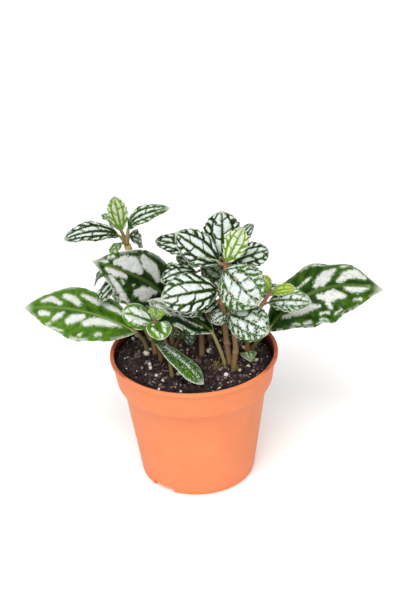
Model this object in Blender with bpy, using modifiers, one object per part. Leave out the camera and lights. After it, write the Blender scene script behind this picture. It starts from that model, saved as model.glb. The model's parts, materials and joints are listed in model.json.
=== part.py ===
"""A potted aluminium plant: leafy stems and large leaves growing from soil in a 12 cm nursery pot.

Every size and place is in millimetres and becomes metres where a mesh is made. +Z is up, -Y is
the front, and the origin is the middle of the pot's underside, where it stands on a table.
"""
import math
from typing import NamedTuple

import bmesh
import bpy
from mathutils import Vector

MM = 0.001
PLANT = "potted_aluminium_plant"
WELD = 1e-6                 # metres

# The pot: a thin moulded cup with a lip, a collar, a shoulder and a tapered body.
POT_HEIGHT = 98
RIM_RADIUS = 60
LIP_HEIGHT = 3
LIP_PROUD = 1.5
WALL = 1.4
TAPER = 0.15                # radius lost for each millimetre down the collar
BODY_TAPER = 0.142          # and down the body
COLLAR_FOOT = 79.5
SHOULDER_FOOT = 70.7
BODY_RADIUS = 51.2          # just under the shoulder
FOOT_ROUND = 3.2
POT_SIDES = 40

# Three drain pockets are cut into the floor from below and open at the pot's foot.
POCKET_ANGLES = (231, 351, 111)
POCKET_WIDTH = 18
POCKET_HEIGHT = 4.5
POCKET_INNER = 25
DRAIN_RADIUS = 4
DRAIN_AT = 31
DRAIN_SIDES = 16
FLOOR = POCKET_HEIGHT + WALL

# The soil: lumpy on top, with a plain hole for each stem.
SOIL_TOP = 88
SOIL_RINGS = (10, 20, 30, 40, 50)
CLEAR = 0.35                # between pieces that touch
STEM_FOOT = 72
STEM_STRAIGHT = 92          # stems are upright until they are out of the soil
HOLE_SIDES = 10

# Blades, petioles and stems.
BLADE = 0.8
ROOT_HALF = 0.9             # half width of a blade where it meets its petiole
PETIOLE_SIDES = 1           # bevel resolution, so six sides
STEM_SIDES = 2              # eight sides
ROUTE_STEP = 9


class Form(NamedTuple):
    """The outline and the relief that all leaves of one kind share."""
    reach: float            # how slowly the blade widens from its base
    taper: float            # how slowly it narrows to its tip
    pinch: float            # how far the last stretch is drawn in to a drip tip
    rows: int
    columns: int
    tooth: float            # depth of the teeth, as a share of the half width
    wave: float             # height of the waves along the edge
    waves: float            # how many waves an edge has


FORMS = {
    "patch": Form(0.85, 0.85, 0.45, 11, 2, 0.0, 1.9, 2.6),
    "wavy": Form(0.85, 0.85, 0.45, 15, 2, 0.0, 3.0, 3.5),
    "ovate": Form(0.8, 1.05, 0.2, 11, 2, 0.0, 1.0, 2.2),
    "spoon": Form(1.3, 0.6, 0.2, 7, 1, 0.0, 0.5, 2.0),
    "net": Form(0.8, 0.64, 0.34, 7, 1, 0.07, 0.6, 2.2),
    "round": Form(0.7, 0.55, 0.1, 6, 1, 0.0, 0.5, 2.0),
    "young": Form(0.85, 0.7, 0.2, 5, 1, 0.05, 0.3, 2.0),
    "heart": Form(0.35, 0.9, 0.1, 5, 1, 0.0, 0.3, 1.5),
}
SWEEP = 0.12                # how far the side veins run forward on their way to the edge


class Leaf(NamedTuple):
    """One blade: its two ends, its width, the way its upper side looks and how it curves."""
    kind: str
    base: tuple
    tip: tuple
    width: float
    face: tuple
    node: float = 0         # height on the stem where the petiole leaves it, 0 for the stem's top
    arch: float = 2         # how far the midrib bows towards the face
    bend: float = 0         # how far the midrib bows to its left
    fold: float = 10        # degrees that each half is raised from flat
    cup: float = 0.15       # how far the edges curl back down
    petiole: float = 0.9    # radius


class Stem(NamedTuple):
    """A stem's axis from the soil up, its radius at both ends, and its leaves."""
    route: tuple
    thick: float
    thin: float
    leaves: tuple


STEMS = {
    "leafy_stem_left": Stem(
        ((-28, 9), (-30, 16, 107), (-34, 23, 130), (-40, 27, 155), (-44, 24, 172)), 2.0, 2.6, (
            Leaf("young", (-47, 22, 184), (-50, 14, 214), 15, (0, -1, 0.3), arch=-1, fold=14, petiole=1.6),
            Leaf("net", (-42, 20, 186), (-12, 8, 206), 13, (-0.7, -0.6, 0.5), arch=9, fold=14, petiole=1.6),
            Leaf("net", (-49, 20, 181), (-86, 4, 187), 17, (0.1, -0.5, 0.85), arch=7, fold=14, petiole=1.2),
            Leaf("net", (-48, 27, 181), (-61, 37, 190), 13, (0.4, -0.1, 0.9), arch=2),
            Leaf("net", (-42, 26, 177), (-34, 36, 167), 14, (0.2, -0.6, 0.7), arch=2),
            Leaf("young", (-48, 20, 175), (-55, 12, 170), 8, (-0.4, -0.7, 0.5), arch=1),
            Leaf("net", (-47, 18, 157), (-68, 9, 147), 9, (-0.5, -0.1, 0.8), 150, 6),
            Leaf("net", (-46, 19, 150), (-66, 3, 137), 13, (-0.4, -0.5, 0.7), 145, 3),
        )),
    "leafy_stem_front": Stem(
        ((-16, -22), (-18, -12, 104), (-21, -8, 115), (-25, -12, 129)), 1.5, 1.2, (
            Leaf("round", (-28, -15, 130), (-48, -22, 143), 18, (0.2, -0.7, 0.75), arch=2, fold=6),
            Leaf("round", (-25, -16, 130), (-22, -33, 126), 18, (0.1, -0.5, 0.9), arch=3, fold=18),
            Leaf("young", (-25, -14, 132), (-19, -12, 139), 6, (-0.6, -0.7, 0.5), arch=0),
            Leaf("young", (-27, -13, 132), (-28, -10, 139), 6, (0.4, -0.8, 0.4), arch=0),
            Leaf("round", (-28, -12, 131), (-27, -4, 137), 7, (0, -0.7, 0.7), arch=1),
        )),
    "leafy_stem_foot": Stem(
        ((-24, 3), (-24.5, 0, 104), (-25, -3, 112)), 1.9, 1.2, (
            Leaf("spoon", (-30, -9, 114), (5.5, -40, 93.5), 17, (0.3, -0.2, 0.9), arch=3, fold=4),
            Leaf("round", (-23, 1, 115), (-16, 12, 119), 9, (0, -0.3, 0.9), arch=1),
        )),
    "leafy_stem_sprig": Stem(
        ((-13, 17), (-11, 17, 96), (-8, 16, 101)), 1.3, 1.0, (
            Leaf("net", (-7, 15, 102), (-1, 10, 96), 11, (0.5, -0.6, 0.7), arch=3, fold=14),
            Leaf("net", (-9, 15, 102), (-16, 11, 107), 8, (-0.1, -0.6, 0.8), arch=1),
        )),
    "leafy_stem_centre": Stem(
        ((5.6, 6), (6, 10, 112), (8, 12, 140), (9, 8, 163)), 2.1, 1.2, (
            Leaf("young", (9, 6, 164), (-2, -1, 170), 8, (-0.3, -0.8, 0.4), arch=1),
            Leaf("net", (4, 4, 158), (-21, 0, 154), 17, (0, -0.5, 0.9), 158, 4),
            Leaf("net", (7, 10, 170), (-24, 18, 177), 17, (0.2, -0.6, 0.8), arch=3),
            Leaf("net", (11, 12, 162), (26, 30, 160), 20, (0.2, 0.3, 0.9), arch=4),
            Leaf("net", (8, 11, 163), (-10, 12, 166), 14, (0, -0.75, 0.65)),
            Leaf("net", (8, 5, 166), (22, 3, 154), 20, (0.1, -0.8, 0.6), 160),
        )),
    "leafy_stem_tall": Stem(
        ((25, -6.5), (23.5, -4.5, 105), (21, -4, 139), (21, -4, 149), (25, -2, 166)), 2.1, 1.5, (
            Leaf("young", (25, -4, 169), (37, -9, 197), 18, (-0.3, -1, 0.1), arch=-1, fold=12),
            Leaf("young", (22, -4, 167), (5, -12, 177), 9, (-0.1, 0.1, 1), arch=2, fold=14),
            Leaf("net", (23, 0, 171), (23, 10, 201.5), 27, (0, -1, 0.35), arch=1, fold=8),
            Leaf("net", (20, -3, 168), (-9, -8, 195), 23, (0.3, -0.9, 0.3), arch=3, fold=8),
            Leaf("net", (27, 3, 170), (45, 24, 184), 13, (-0.3, -0.5, 0.8), arch=3),
            Leaf("net", (28, 1, 165.5), (55, 10, 170), 19, (-0.1, -0.75, 0.6), arch=3, fold=10),
            Leaf("net", (23.5, -8, 166), (46, -26, 147), 36, (-0.3, -0.8, 0.55), arch=4, fold=5),
            Leaf("net", (19, -6, 149), (-21, -17, 149), 30, (0, -0.75, 0.65), 149, 4),
            Leaf("net", (25, 1, 150), (48, 30, 142), 24, (0.2, 0.3, 0.9), 149, 5),
            Leaf("net", (22, 3, 138), (22.5, 15, 119), 22, (0, -0.9, 0.4), 138),
            Leaf("net", (18, -8, 141), (-9, -18, 137), 14, (0, -0.6, 0.8), 138, 3),
        )),
    "leafy_stem_low": Stem(
        ((28, -15), (29.5, -13, 106), (28, -10, 119), (25, -8, 130)), 2.2, 1.5, (
            Leaf("net", (24, -10, 131), (13, -15, 128), 14, (-0.3, -0.5, 0.8), arch=2),
            Leaf("net", (25, -12, 133), (52, -27, 124.5), 28, (0.05, -0.75, 0.65), arch=5, fold=6),
            Leaf("net", (28, -6, 132), (46, -4, 140), 19, (0, -0.8, 0.6), arch=2),
        )),
    "leafy_stem_right": Stem(
        ((38.5, 4), (39, 2, 107), (46, 2, 125), (55, 2, 141)), 1.8, 1.3, (
            Leaf("young", (54.5, 1, 142.5), (48.5, -1, 156.5), 10, (0.3, -0.9, 0.3), arch=1),
            Leaf("young", (56, 1, 141), (73, -2, 145), 10, (0, -0.6, 0.8), arch=2, fold=16),
            Leaf("net", (54, 0, 134), (83, -10, 138), 19, (0, -0.6, 0.8), 131, 4),
            Leaf("heart", (38.5, -1, 95), (40, -12, 93), 11, (0, -0.2, 1), 93, 1),
        )),
    "leafy_stem_back_left": Stem(
        ((-14, 40), (-16, 44, 108), (-20, 48, 126)), 1.9, 1.3, (
            Leaf("net", (-24, 46, 128), (-54, 40, 134), 20, (0, -0.2, 1), arch=5),
            Leaf("net", (-22, 51, 128), (-36, 76, 128), 20, (-0.1, 0.3, 1), arch=5),
            Leaf("net", (-17, 51, 128), (-6, 77, 124), 19, (0.1, 0.3, 1), arch=5),
            Leaf("net", (-18, 45, 129), (0, 34, 140), 17, (-0.3, -0.4, 0.9), arch=3),
            Leaf("young", (-21, 48, 130), (-26, 50, 144), 11, (0.2, -0.9, 0.4), arch=1),
            Leaf("young", (-19, 49, 130), (-13, 54, 141), 9, (-0.3, -0.7, 0.5), arch=1),
        )),
    "leafy_stem_back": Stem(
        ((12, 28), (13, 34, 108), (14, 40, 128), (16, 43, 138)), 2.0, 1.3, (
            Leaf("net", (12, 46, 139), (2, 68, 142), 20, (0, 0.1, 1), arch=5),
            Leaf("net", (20, 46, 139), (40, 66, 140), 20, (0.1, 0.1, 1), arch=5),
            Leaf("net", (21, 41, 139), (48, 38, 140), 18, (0, 0.1, 1), arch=4),
            Leaf("young", (15, 44, 142), (14, 46, 156), 11, (0, -0.9, 0.3), arch=1),
            Leaf("young", (18, 43, 140), (27, 46, 152), 10, (-0.5, -0.6, 0.6), arch=1),
            Leaf("net", (11, 43, 124), (-12, 64, 114), 16, (-0.2, 0.3, 1), 118, 4),
        )),
    "leafy_stem_back_right": Stem(
        ((33, 30), (37, 34, 106), (42, 36, 120)), 1.8, 1.3, (
            Leaf("net", (47, 36, 120), (78, 45, 112), 20, (0, 0, 1), arch=5),
            Leaf("net", (45, 40, 121), (63, 64, 105), 19, (0.1, 0.2, 1), arch=5),
            Leaf("net", (41, 40, 122), (38, 62, 118), 17, (0, 0.3, 1), arch=4),
            Leaf("young", (43, 36, 123), (46, 38, 136), 10, (-0.2, -0.9, 0.4), arch=1),
            Leaf("net", (43, 33, 121), (55, 21, 126), 14, (0, 0, 1), arch=3),
        )),
}

# The large leaves stand on petioles of their own: foot in the soil, way up, blade.
LARGE_LEAVES = {
    "large_leaf_left": Stem(((-33, 6), (-35, 3, 104)), 1.5, 1.2, (
        Leaf("patch", (-40, -4, 116.5), (-118, 5, 134.5), 40, (0, -0.6, 0.8), arch=5, bend=-5, fold=-10),)),
    "large_leaf_mid_left": Stem(((-15.5, 24), (-16, 27, 108)), 1.6, 1.2, (
        Leaf("ovate", (-18, 28, 126), (-67, -8, 176), 40, (0, -0.85, 0.5), arch=5, bend=-4, fold=10),)),
    "large_leaf_centre": Stem(((21.4, -9.2), (18.5, -8.5, 102)), 1.4, 1.2, (
        Leaf("patch", (14, -8, 116), (-31, 8, 135), 32, (0.3, -0.3, 0.9), arch=4, fold=8),)),
    "large_leaf_right": Stem(((42, 9), (46, 8, 98)), 1.4, 1.2, (
        Leaf("wavy", (53, 8, 106.5), (137, 20, 129), 47, (0, -0.6, 0.8), arch=11, bend=12, fold=-10),)),
    "large_leaf_back_left": Stem(((-32, 28), (-38, 36, 102)), 1.4, 1.2, (
        Leaf("patch", (-40, 44, 108), (-52, 92, 98), 32, (-0.1, 0.3, 1), arch=8, fold=8),)),
    "large_leaf_back_right": Stem(((22, 42), (22, 52, 100)), 1.4, 1.2, (
        Leaf("patch", (22, 62, 106), (30, 118, 92), 34, (0, 0.3, 1), arch=8, fold=8),)),
}


def new_collection(name):
    collection = bpy.data.collections.new(name)
    bpy.context.scene.collection.children.link(collection)
    return collection


def material(name, colour, roughness):
    finish = bpy.data.materials.new(name)
    finish.use_nodes = True
    shader = finish.node_tree.nodes["Principled BSDF"]
    shader.inputs["Base Color"].default_value = (*colour, 1)
    shader.inputs["Roughness"].default_value = roughness
    shader.inputs["Metallic"].default_value = 0
    finish.diffuse_color = (*colour, 1)
    return finish


def link_mesh(name, mesh, collection):
    thing = bpy.data.objects.new(name, mesh)
    collection.objects.link(thing)
    return thing


def settled_mesh(thing, name):
    """The object's mesh with its modifiers applied."""
    graph = bpy.context.evaluated_depsgraph_get()
    mesh = bpy.data.meshes.new_from_object(thing.evaluated_get(graph))
    mesh.name = name
    return mesh


def welded(mesh):
    """The mesh with its loose caps joined to their tube."""
    work = bmesh.new()
    work.from_mesh(mesh)
    bmesh.ops.remove_doubles(work, verts=work.verts, dist=WELD)
    work.to_mesh(mesh)
    work.free()
    return mesh


def boolean(thing, operation, collection):
    change = thing.modifiers.new(operation.lower(), "BOOLEAN")
    change.operation = operation
    change.operand_type = "COLLECTION"
    change.collection = collection
    change.solver = "EXACT"
    return change


def turned(name, profile, collection):
    """A closed round piece from (radius, height) points that run down its outer side."""
    mesh = bpy.data.meshes.new(name)
    points = [(radius * MM, 0, height * MM) for radius, height in profile]
    mesh.from_pydata(points, [(i, i + 1) for i in range(len(points) - 1)], [])
    thing = link_mesh(name, mesh, collection)
    screw = thing.modifiers.new("turn", "SCREW")
    screw.axis = "Z"
    screw.angle = 2 * math.pi
    screw.steps = POT_SIDES
    screw.render_steps = POT_SIDES
    screw.use_merge_vertices = True
    screw.merge_threshold = 1e-4
    return thing


def outer_radius(height):
    """The pot's outside: collar, shoulder as a quarter wave, and tapered body."""
    collar_foot_radius = RIM_RADIUS - LIP_PROUD - TAPER * (POT_HEIGHT - LIP_HEIGHT - COLLAR_FOOT)
    if height >= COLLAR_FOOT:
        return collar_foot_radius + TAPER * (height - COLLAR_FOOT)
    if height <= SHOULDER_FOOT:
        return BODY_RADIUS - BODY_TAPER * (SHOULDER_FOOT - height)
    turn = (COLLAR_FOOT - height) / (COLLAR_FOOT - SHOULDER_FOOT) * math.pi / 2
    return BODY_RADIUS + (collar_foot_radius - BODY_RADIUS) * math.cos(turn)


def wall_line(offset, foot):
    """(radius, height) points from the lip down the wall to a height, moved inwards by an offset."""
    shoulder = [COLLAR_FOOT - (COLLAR_FOOT - SHOULDER_FOOT) * k / 3 for k in range(4)]
    heights = [POT_HEIGHT - LIP_HEIGHT, *shoulder, foot]
    return [(outer_radius(height) - offset, height) for height in heights]


def foot_arc():
    """The rounding at the outside between wall and underside."""
    middle = outer_radius(FOOT_ROUND) - FOOT_ROUND
    turns = [math.pi / 2 * k / 3 for k in range(1, 4)]
    return [(middle + FOOT_ROUND * math.cos(a), FOOT_ROUND * (1 - math.sin(a))) for a in turns]


def pocket(name, angle, collection):
    """A cutter for one drain pocket, from near the middle of the underside out through the wall."""
    turn = math.radians(angle)
    middle = (POCKET_INNER + RIM_RADIUS) / 2
    height = POCKET_HEIGHT + 1
    bpy.ops.mesh.primitive_cube_add(size=1, rotation=(0, 0, turn))
    block = bpy.context.object
    block.name = name
    block.location = Vector((middle * math.cos(turn), middle * math.sin(turn), height / 2 - 1)) * MM
    block.scale = Vector((RIM_RADIUS - POCKET_INNER, POCKET_WIDTH, height)) * MM
    move_to(block, collection)


def move_to(thing, collection):
    for old in list(thing.users_collection):
        old.objects.unlink(thing)
    collection.objects.link(thing)


def cylinder(name, place, radius, bottom, top, sides, collection):
    bpy.ops.mesh.primitive_cylinder_add(
        vertices=sides, radius=radius * MM, depth=(top - bottom) * MM,
        location=(place[0] * MM, place[1] * MM, (bottom + top) / 2 * MM))
    thing = bpy.context.object
    thing.name = name
    move_to(thing, collection)


def as_cutters(collection):
    for cutter in collection.objects:
        cutter.hide_render = True
        cutter.display_type = "WIRE"


def build_pot(collection):
    lip = [(RIM_RADIUS - LIP_PROUD - WALL + 0.4, POT_HEIGHT), (RIM_RADIUS - 0.5, POT_HEIGHT),
           (RIM_RADIUS, POT_HEIGHT - 0.6), (RIM_RADIUS, POT_HEIGHT - LIP_HEIGHT)]
    inside = [(0, FLOOR), *reversed(wall_line(WALL, FLOOR))]
    pot = turned("pot", [*inside, *lip, *wall_line(0, FOOT_ROUND), *foot_arc(), (0, 0)], collection)

    cutters = new_collection("pot_cutters")
    for number, angle in enumerate(POCKET_ANGLES, 1):
        pocket(f"pocket_{number}", angle, cutters)
        turn = math.radians(angle)
        place = (DRAIN_AT * math.cos(turn), DRAIN_AT * math.sin(turn))
        cylinder(f"drain_{number}", place, DRAIN_RADIUS, 1, FLOOR + 1, DRAIN_SIDES, cutters)
    boolean(pot, "DIFFERENCE", cutters)
    as_cutters(cutters)
    pot.data.materials.append(material("pot_plastic", (0.87, 0.30, 0.13), 0.45))


def soil_lump(x, y):
    """How far the soil stands above its level: lumps, and a rise towards the wall."""
    lumps = 1.1 * math.sin(x / 7 + 1) * math.cos(y / 6) + 0.7 * math.sin(x / 3.3 - y / 4.3)
    return lumps + 4.5 * (math.hypot(x, y) / RIM_RADIUS) ** 4


def build_soil(collection, plants):
    offset = WALL + CLEAR
    edge = outer_radius(SOIL_TOP - 4) - offset
    top = [(0, SOIL_TOP), *((radius, SOIL_TOP) for radius in SOIL_RINGS), (edge, SOIL_TOP)]
    side = [point for point in wall_line(offset, FLOOR + CLEAR) if point[1] < SOIL_TOP - 5]
    whole = turned("soil_block", [*top, *side, (0, FLOOR + CLEAR)], collection)
    mesh = settled_mesh(whole, "soil")
    bpy.data.objects.remove(whole)
    for vertex in mesh.vertices:
        if vertex.co.z > (SOIL_TOP - 1) * MM:
            vertex.co.z += soil_lump(vertex.co.x / MM, vertex.co.y / MM) * MM
    soil = link_mesh("soil", mesh, collection)

    holes = new_collection("soil_cutters")
    for name, plant in plants.items():
        cylinder(f"hole_{name}", plant.route[0], plant.thick + CLEAR + 0.1,
                 STEM_FOOT - CLEAR, SOIL_TOP + 10, HOLE_SIDES, holes)
    boolean(soil, "DIFFERENCE", holes)
    as_cutters(holes)
    soil.data.materials.append(material("potting_soil", (0.035, 0.02, 0.014), 0.95))


def smooth_route(points, step):
    """Points about a step apart on a smooth curve through the given ones."""
    knots = [2 * points[0] - points[1], *points, 2 * points[-1] - points[-2]]
    route = []
    for a, b, c, d in zip(knots, knots[1:], knots[2:], knots[3:]):
        pieces = max(1, round((c - b).length / step))
        for k in range(pieces):
            t = k / pieces
            route.append((2 * b + (c - a) * t + (2 * a - 5 * b + 4 * c - d) * t * t
                          + (3 * b - a - 3 * c + d) * t * t * t) / 2)
    return [*route, points[-1]]


def tube(name, route, thick, thin, sides, collection):
    """A round stalk along a route, thick at its start and thin at its end, as a closed mesh."""
    curve = bpy.data.curves.new(name, "CURVE")
    curve.dimensions = "3D"
    curve.bevel_depth = MM
    curve.bevel_resolution = sides
    curve.resolution_u = 1
    curve.render_resolution_u = 0
    curve.use_fill_caps = True
    spline = curve.splines.new("POLY")
    spline.points.add(len(route) - 1)
    for k, (point, place) in enumerate(zip(spline.points, route)):
        point.co = (*(place * MM), 1)
        point.radius = thick + (thin - thick) * k / (len(route) - 1)
    stalk = link_mesh(f"{name}_curve", curve, collection)
    mesh = welded(settled_mesh(stalk, name))
    bpy.data.objects.remove(stalk)
    return link_mesh(name, mesh, collection)


def blade_half_width(leaf, u):
    """Half the blade's width at u, which runs from 0 at its base to 1 at its tip."""
    form = FORMS[leaf.kind]
    widest = form.reach / (form.reach + form.taper)
    outline = (u / widest) ** form.reach * ((1 - u) / (1 - widest)) ** form.taper
    drawn_in = 1 - form.pinch * math.exp((u - 1) / 0.06)
    return leaf.width / 2 * outline * drawn_in + ROOT_HALF * (1 - u)


def blade_point(leaf, u, w):
    """The blade's surface at u along it and w across it, from -1 to 1."""
    form = FORMS[leaf.kind]
    base, chord = Vector(leaf.base), Vector(leaf.tip) - Vector(leaf.base)
    up = (Vector(leaf.face) - Vector(leaf.face).project(chord)).normalized()
    left = up.cross(chord).normalized()
    bow = up * leaf.arch + left * leaf.bend
    midrib = base + chord * u + bow * 4 * u * (1 - u)
    forward = (chord + bow * 4 * (1 - 2 * u)).normalized()
    normal = (up - up.project(forward)).normalized()
    side = normal.cross(forward)
    half = blade_half_width(leaf, u)
    fold = math.radians(leaf.fold)
    beat = 2 * math.pi * form.waves * u + leaf.width + (2 if w < 0 else 0)
    ripple = form.wave * math.sin(beat) * w * w * min(1, 6 * u * (1 - u))
    lift = half * (abs(w) * math.sin(fold) - leaf.cup * w * w) + ripple
    return midrib + side * (half * w * math.cos(fold)) + normal * lift


def build_blade(name, leaf, collection):
    """A closed blade: rows that follow the side veins, thickened to both sides alike."""
    form = FORMS[leaf.kind]
    work = bmesh.new()
    rows = []
    for i in range(form.rows):
        row = []
        for j in range(-form.columns, form.columns + 1):
            w = j / form.columns
            middle = i / form.rows
            u = middle + SWEEP * abs(w) * 4 * middle * (1 - middle)
            notch = 1 - form.tooth if abs(w) == 1 and i % 2 == 1 else 1
            row.append(work.verts.new(blade_point(leaf, u, w * notch) * MM))
        rows.append(row)
    tip = work.verts.new(blade_point(leaf, 1, 0) * MM)
    for low, high in zip(rows, rows[1:]):
        for j in range(2 * form.columns):
            a, b, c, d = low[j], high[j], high[j + 1], low[j + 1]
            triangles = ((a, b, c), (a, c, d)) if j < form.columns else ((a, b, d), (b, c, d))
            for triangle in triangles:
                work.faces.new(triangle)
    for left, right in zip(rows[-1], rows[-1][1:]):
        work.faces.new((left, tip, right))
    mesh = bpy.data.meshes.new(name)
    work.to_mesh(mesh)
    work.free()
    blade = link_mesh(name, mesh, collection)
    thicken = blade.modifiers.new("thickness", "SOLIDIFY")
    thicken.thickness = BLADE * MM
    thicken.offset = 0
    return blade


def stem_route(stem):
    """The stem's axis: upright in the soil, then smooth through its given points."""
    x, y = stem.route[0]
    above = [Vector((x, y, STEM_STRAIGHT)), *(Vector(point) for point in stem.route[1:])]
    return [Vector((x, y, STEM_FOOT)), *smooth_route(above, ROUTE_STEP)]


def point_at_height(route, height):
    """The place on a rising route at a height, or its end for a height of 0."""
    if height == 0:
        return route[-1]
    for low, high in zip(route, route[1:]):
        if low.z <= height <= high.z:
            return low.lerp(high, (height - low.z) / (high.z - low.z))
    return route[-1]


def petiole_route(leaf, start):
    """From the stem's axis out to the blade's base and on under its midrib."""
    base = Vector(leaf.base)
    inside = blade_point(leaf, 0.1, 0)
    return [start, base, inside]


def fuse(name, first, others, finish, collection):
    """One solid from a stem and the collection of what grows from it, which is then removed."""
    boolean(first, "UNION", others)
    mesh = settled_mesh(first, name)
    for piece in list(others.objects):
        bpy.data.objects.remove(piece)
    bpy.data.collections.remove(others)
    bpy.data.objects.remove(first)
    mesh.materials.clear()
    mesh.materials.append(finish)
    return link_mesh(name, mesh, collection)


def build_leafy_stem(name, stem, finish, collection):
    route = stem_route(stem)
    others = new_collection(f"{name}_pieces")
    axis = tube(f"{name}_axis", route, stem.thick, stem.thin, STEM_SIDES, collection)
    for number, leaf in enumerate(stem.leaves, 1):
        build_blade(f"{name}_blade_{number}", leaf, others)
        stalk = petiole_route(leaf, point_at_height(route, leaf.node))
        tube(f"{name}_petiole_{number}", stalk, leaf.petiole + 0.3, leaf.petiole - 0.2, PETIOLE_SIDES, others)
    return fuse(name, axis, others, finish, collection)


def build_large_leaf(name, stem, finish, collection):
    """A blade on its own petiole, which bends from the soil into the blade's midrib."""
    leaf = stem.leaves[0]
    others = new_collection(f"{name}_pieces")
    ends = (tuple(leaf.base), tuple(blade_point(leaf, 0.08, 0)))
    whole = stem._replace(route=(*stem.route, *ends))
    axis = tube(f"{name}_axis", stem_route(whole), stem.thick, stem.thin, STEM_SIDES, collection)
    build_blade(f"{name}_blade", leaf, others)
    return fuse(name, axis, others, finish, collection)


def main():
    for thing in list(bpy.data.objects):
        bpy.data.objects.remove(thing)
    plant = new_collection(PLANT)
    net_leaf = material("net_leaf", (0.30, 0.42, 0.28), 0.4)
    patch_leaf = material("patch_leaf", (0.09, 0.26, 0.06), 0.35)
    for name, stem in STEMS.items():
        build_leafy_stem(name, stem, net_leaf, plant)
    for name, stem in LARGE_LEAVES.items():
        build_large_leaf(name, stem, patch_leaf, plant)
    build_soil(plant, {**STEMS, **LARGE_LEAVES})
    build_pot(plant)


main()
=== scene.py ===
"""The looks of a potted aluminium plant: fine leaves, stems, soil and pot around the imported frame.

Sizes and places are in millimetres, as in the part's source, and become metres where a mesh is
made. +Z is up, -Y is the front, and the origin is the middle of the pot's underside.
"""
import json
import random
from functools import partial
from math import cos, dist, exp, hypot, pi, radians, sin, sqrt
from typing import NamedTuple

import bmesh
import bpy
import numpy as np
from mathutils import Matrix, Vector, noise

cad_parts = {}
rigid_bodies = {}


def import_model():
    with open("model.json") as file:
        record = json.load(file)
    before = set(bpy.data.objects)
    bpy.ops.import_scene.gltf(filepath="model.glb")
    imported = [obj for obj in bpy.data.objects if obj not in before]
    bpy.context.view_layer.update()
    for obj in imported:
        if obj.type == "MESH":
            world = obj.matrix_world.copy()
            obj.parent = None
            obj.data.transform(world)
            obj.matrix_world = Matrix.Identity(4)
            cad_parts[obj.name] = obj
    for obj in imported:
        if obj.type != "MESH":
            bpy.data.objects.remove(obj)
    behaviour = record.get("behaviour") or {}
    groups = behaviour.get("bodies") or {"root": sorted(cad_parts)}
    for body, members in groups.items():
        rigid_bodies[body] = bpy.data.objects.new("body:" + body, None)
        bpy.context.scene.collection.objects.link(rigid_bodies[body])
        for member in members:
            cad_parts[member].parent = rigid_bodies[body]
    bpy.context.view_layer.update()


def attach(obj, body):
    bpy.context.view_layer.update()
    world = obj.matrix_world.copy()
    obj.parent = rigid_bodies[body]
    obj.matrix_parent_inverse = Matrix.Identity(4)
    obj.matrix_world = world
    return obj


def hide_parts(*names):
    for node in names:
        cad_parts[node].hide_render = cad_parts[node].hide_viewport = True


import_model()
scene = bpy.context.scene

MM = 0.001

# The pot, as in the part's source.
POT_HEIGHT = 98
RIM_RADIUS = 60
LIP_HEIGHT = 3
LIP_PROUD = 1.5
WALL = 1.4
TAPER = 0.15
BODY_TAPER = 0.142
COLLAR_FOOT = 79.5
SHOULDER_FOOT = 70.7
BODY_RADIUS = 51.2
FOOT_ROUND = 3.2
POCKET_ANGLES = (231, 351, 111)
POCKET_WIDTH = 18
POCKET_HEIGHT = 4.5
POCKET_INNER = 25
DRAIN_RADIUS = 4
DRAIN_AT = 31
FLOOR = POCKET_HEIGHT + WALL
POT_SIDES = 144
SEAM_HEIGHT = 75.1          # the faint line under the collar
SEAM_DEPTH = 0.22

# The soil, as in the part's source, and its finer grain.
SOIL_TOP = 88
CLEAR = 0.35
STEM_FOOT = 72
STEM_STRAIGHT = 92
SOIL_SIDES = 300
SOIL_RINGS = 100
CRUMBS = 1900
HIDDEN_PERLITE = 26         # bits behind the stems, where the photo shows none
TINY_PERLITE = 170
SOIL_REACH = 53.5           # a bit of perlite stays within this radius
CRUMB_SEED = 4
PERLITE_SEED = 8

# Blades and stems.
ROOT_HALF = 0.9             # half width of a blade where its stalk meets it
SWEEP = 0.12                # how far the rows of points run forward toward the edge
CUP = 0.15                  # how far both halves curl down, as a share of the half width
BLADE_HALF = 0.22           # half the thickness of a blade away from its edge
EDGE_HALF = 0.09
GRID = 0.62                 # wanted size of a blade's faces
STEM_SIDES = 16
PETIOLE_SIDES = 10
STEM_SEED = 1               # the first stem's; each leaf adds its number to its stem's
LARGE_SEED = 150
SEED_STEP = 11

# Camera and light.
CAMERA_UP = 28.72           # degrees
CAMERA_ROLL = -2.29
CAMERA_AIM = (6.14, 0, 137.65)
LENS = 85.66
SUN_FROM = (-0.26, -1.0, 1.3)
SUN_POWER = 2.2
SUN_ANGLE = 0.7             # radians across, for soft shadows
FLOOR_GLOW = 0.22


class Form(NamedTuple):
    """The outline, relief and veins that all leaves of one kind share."""
    reach: float
    taper: float
    pinch: float
    wave: float
    waves: float
    teeth: int              # along each edge
    tooth: float            # depth of a tooth, as a share of the half width
    cells: float            # rows of cells between the side veins
    slant: float            # how far the cross veins run forward
    lateral: float          # where the two long side nerves run, as a share of the half width
    rib: float              # half width of the midrib's dark band
    vein: float             # half width of the other veins
    rag: float              # how far the edge of the silver strays
    margin: float = -1      # width of the green along the edge


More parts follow.
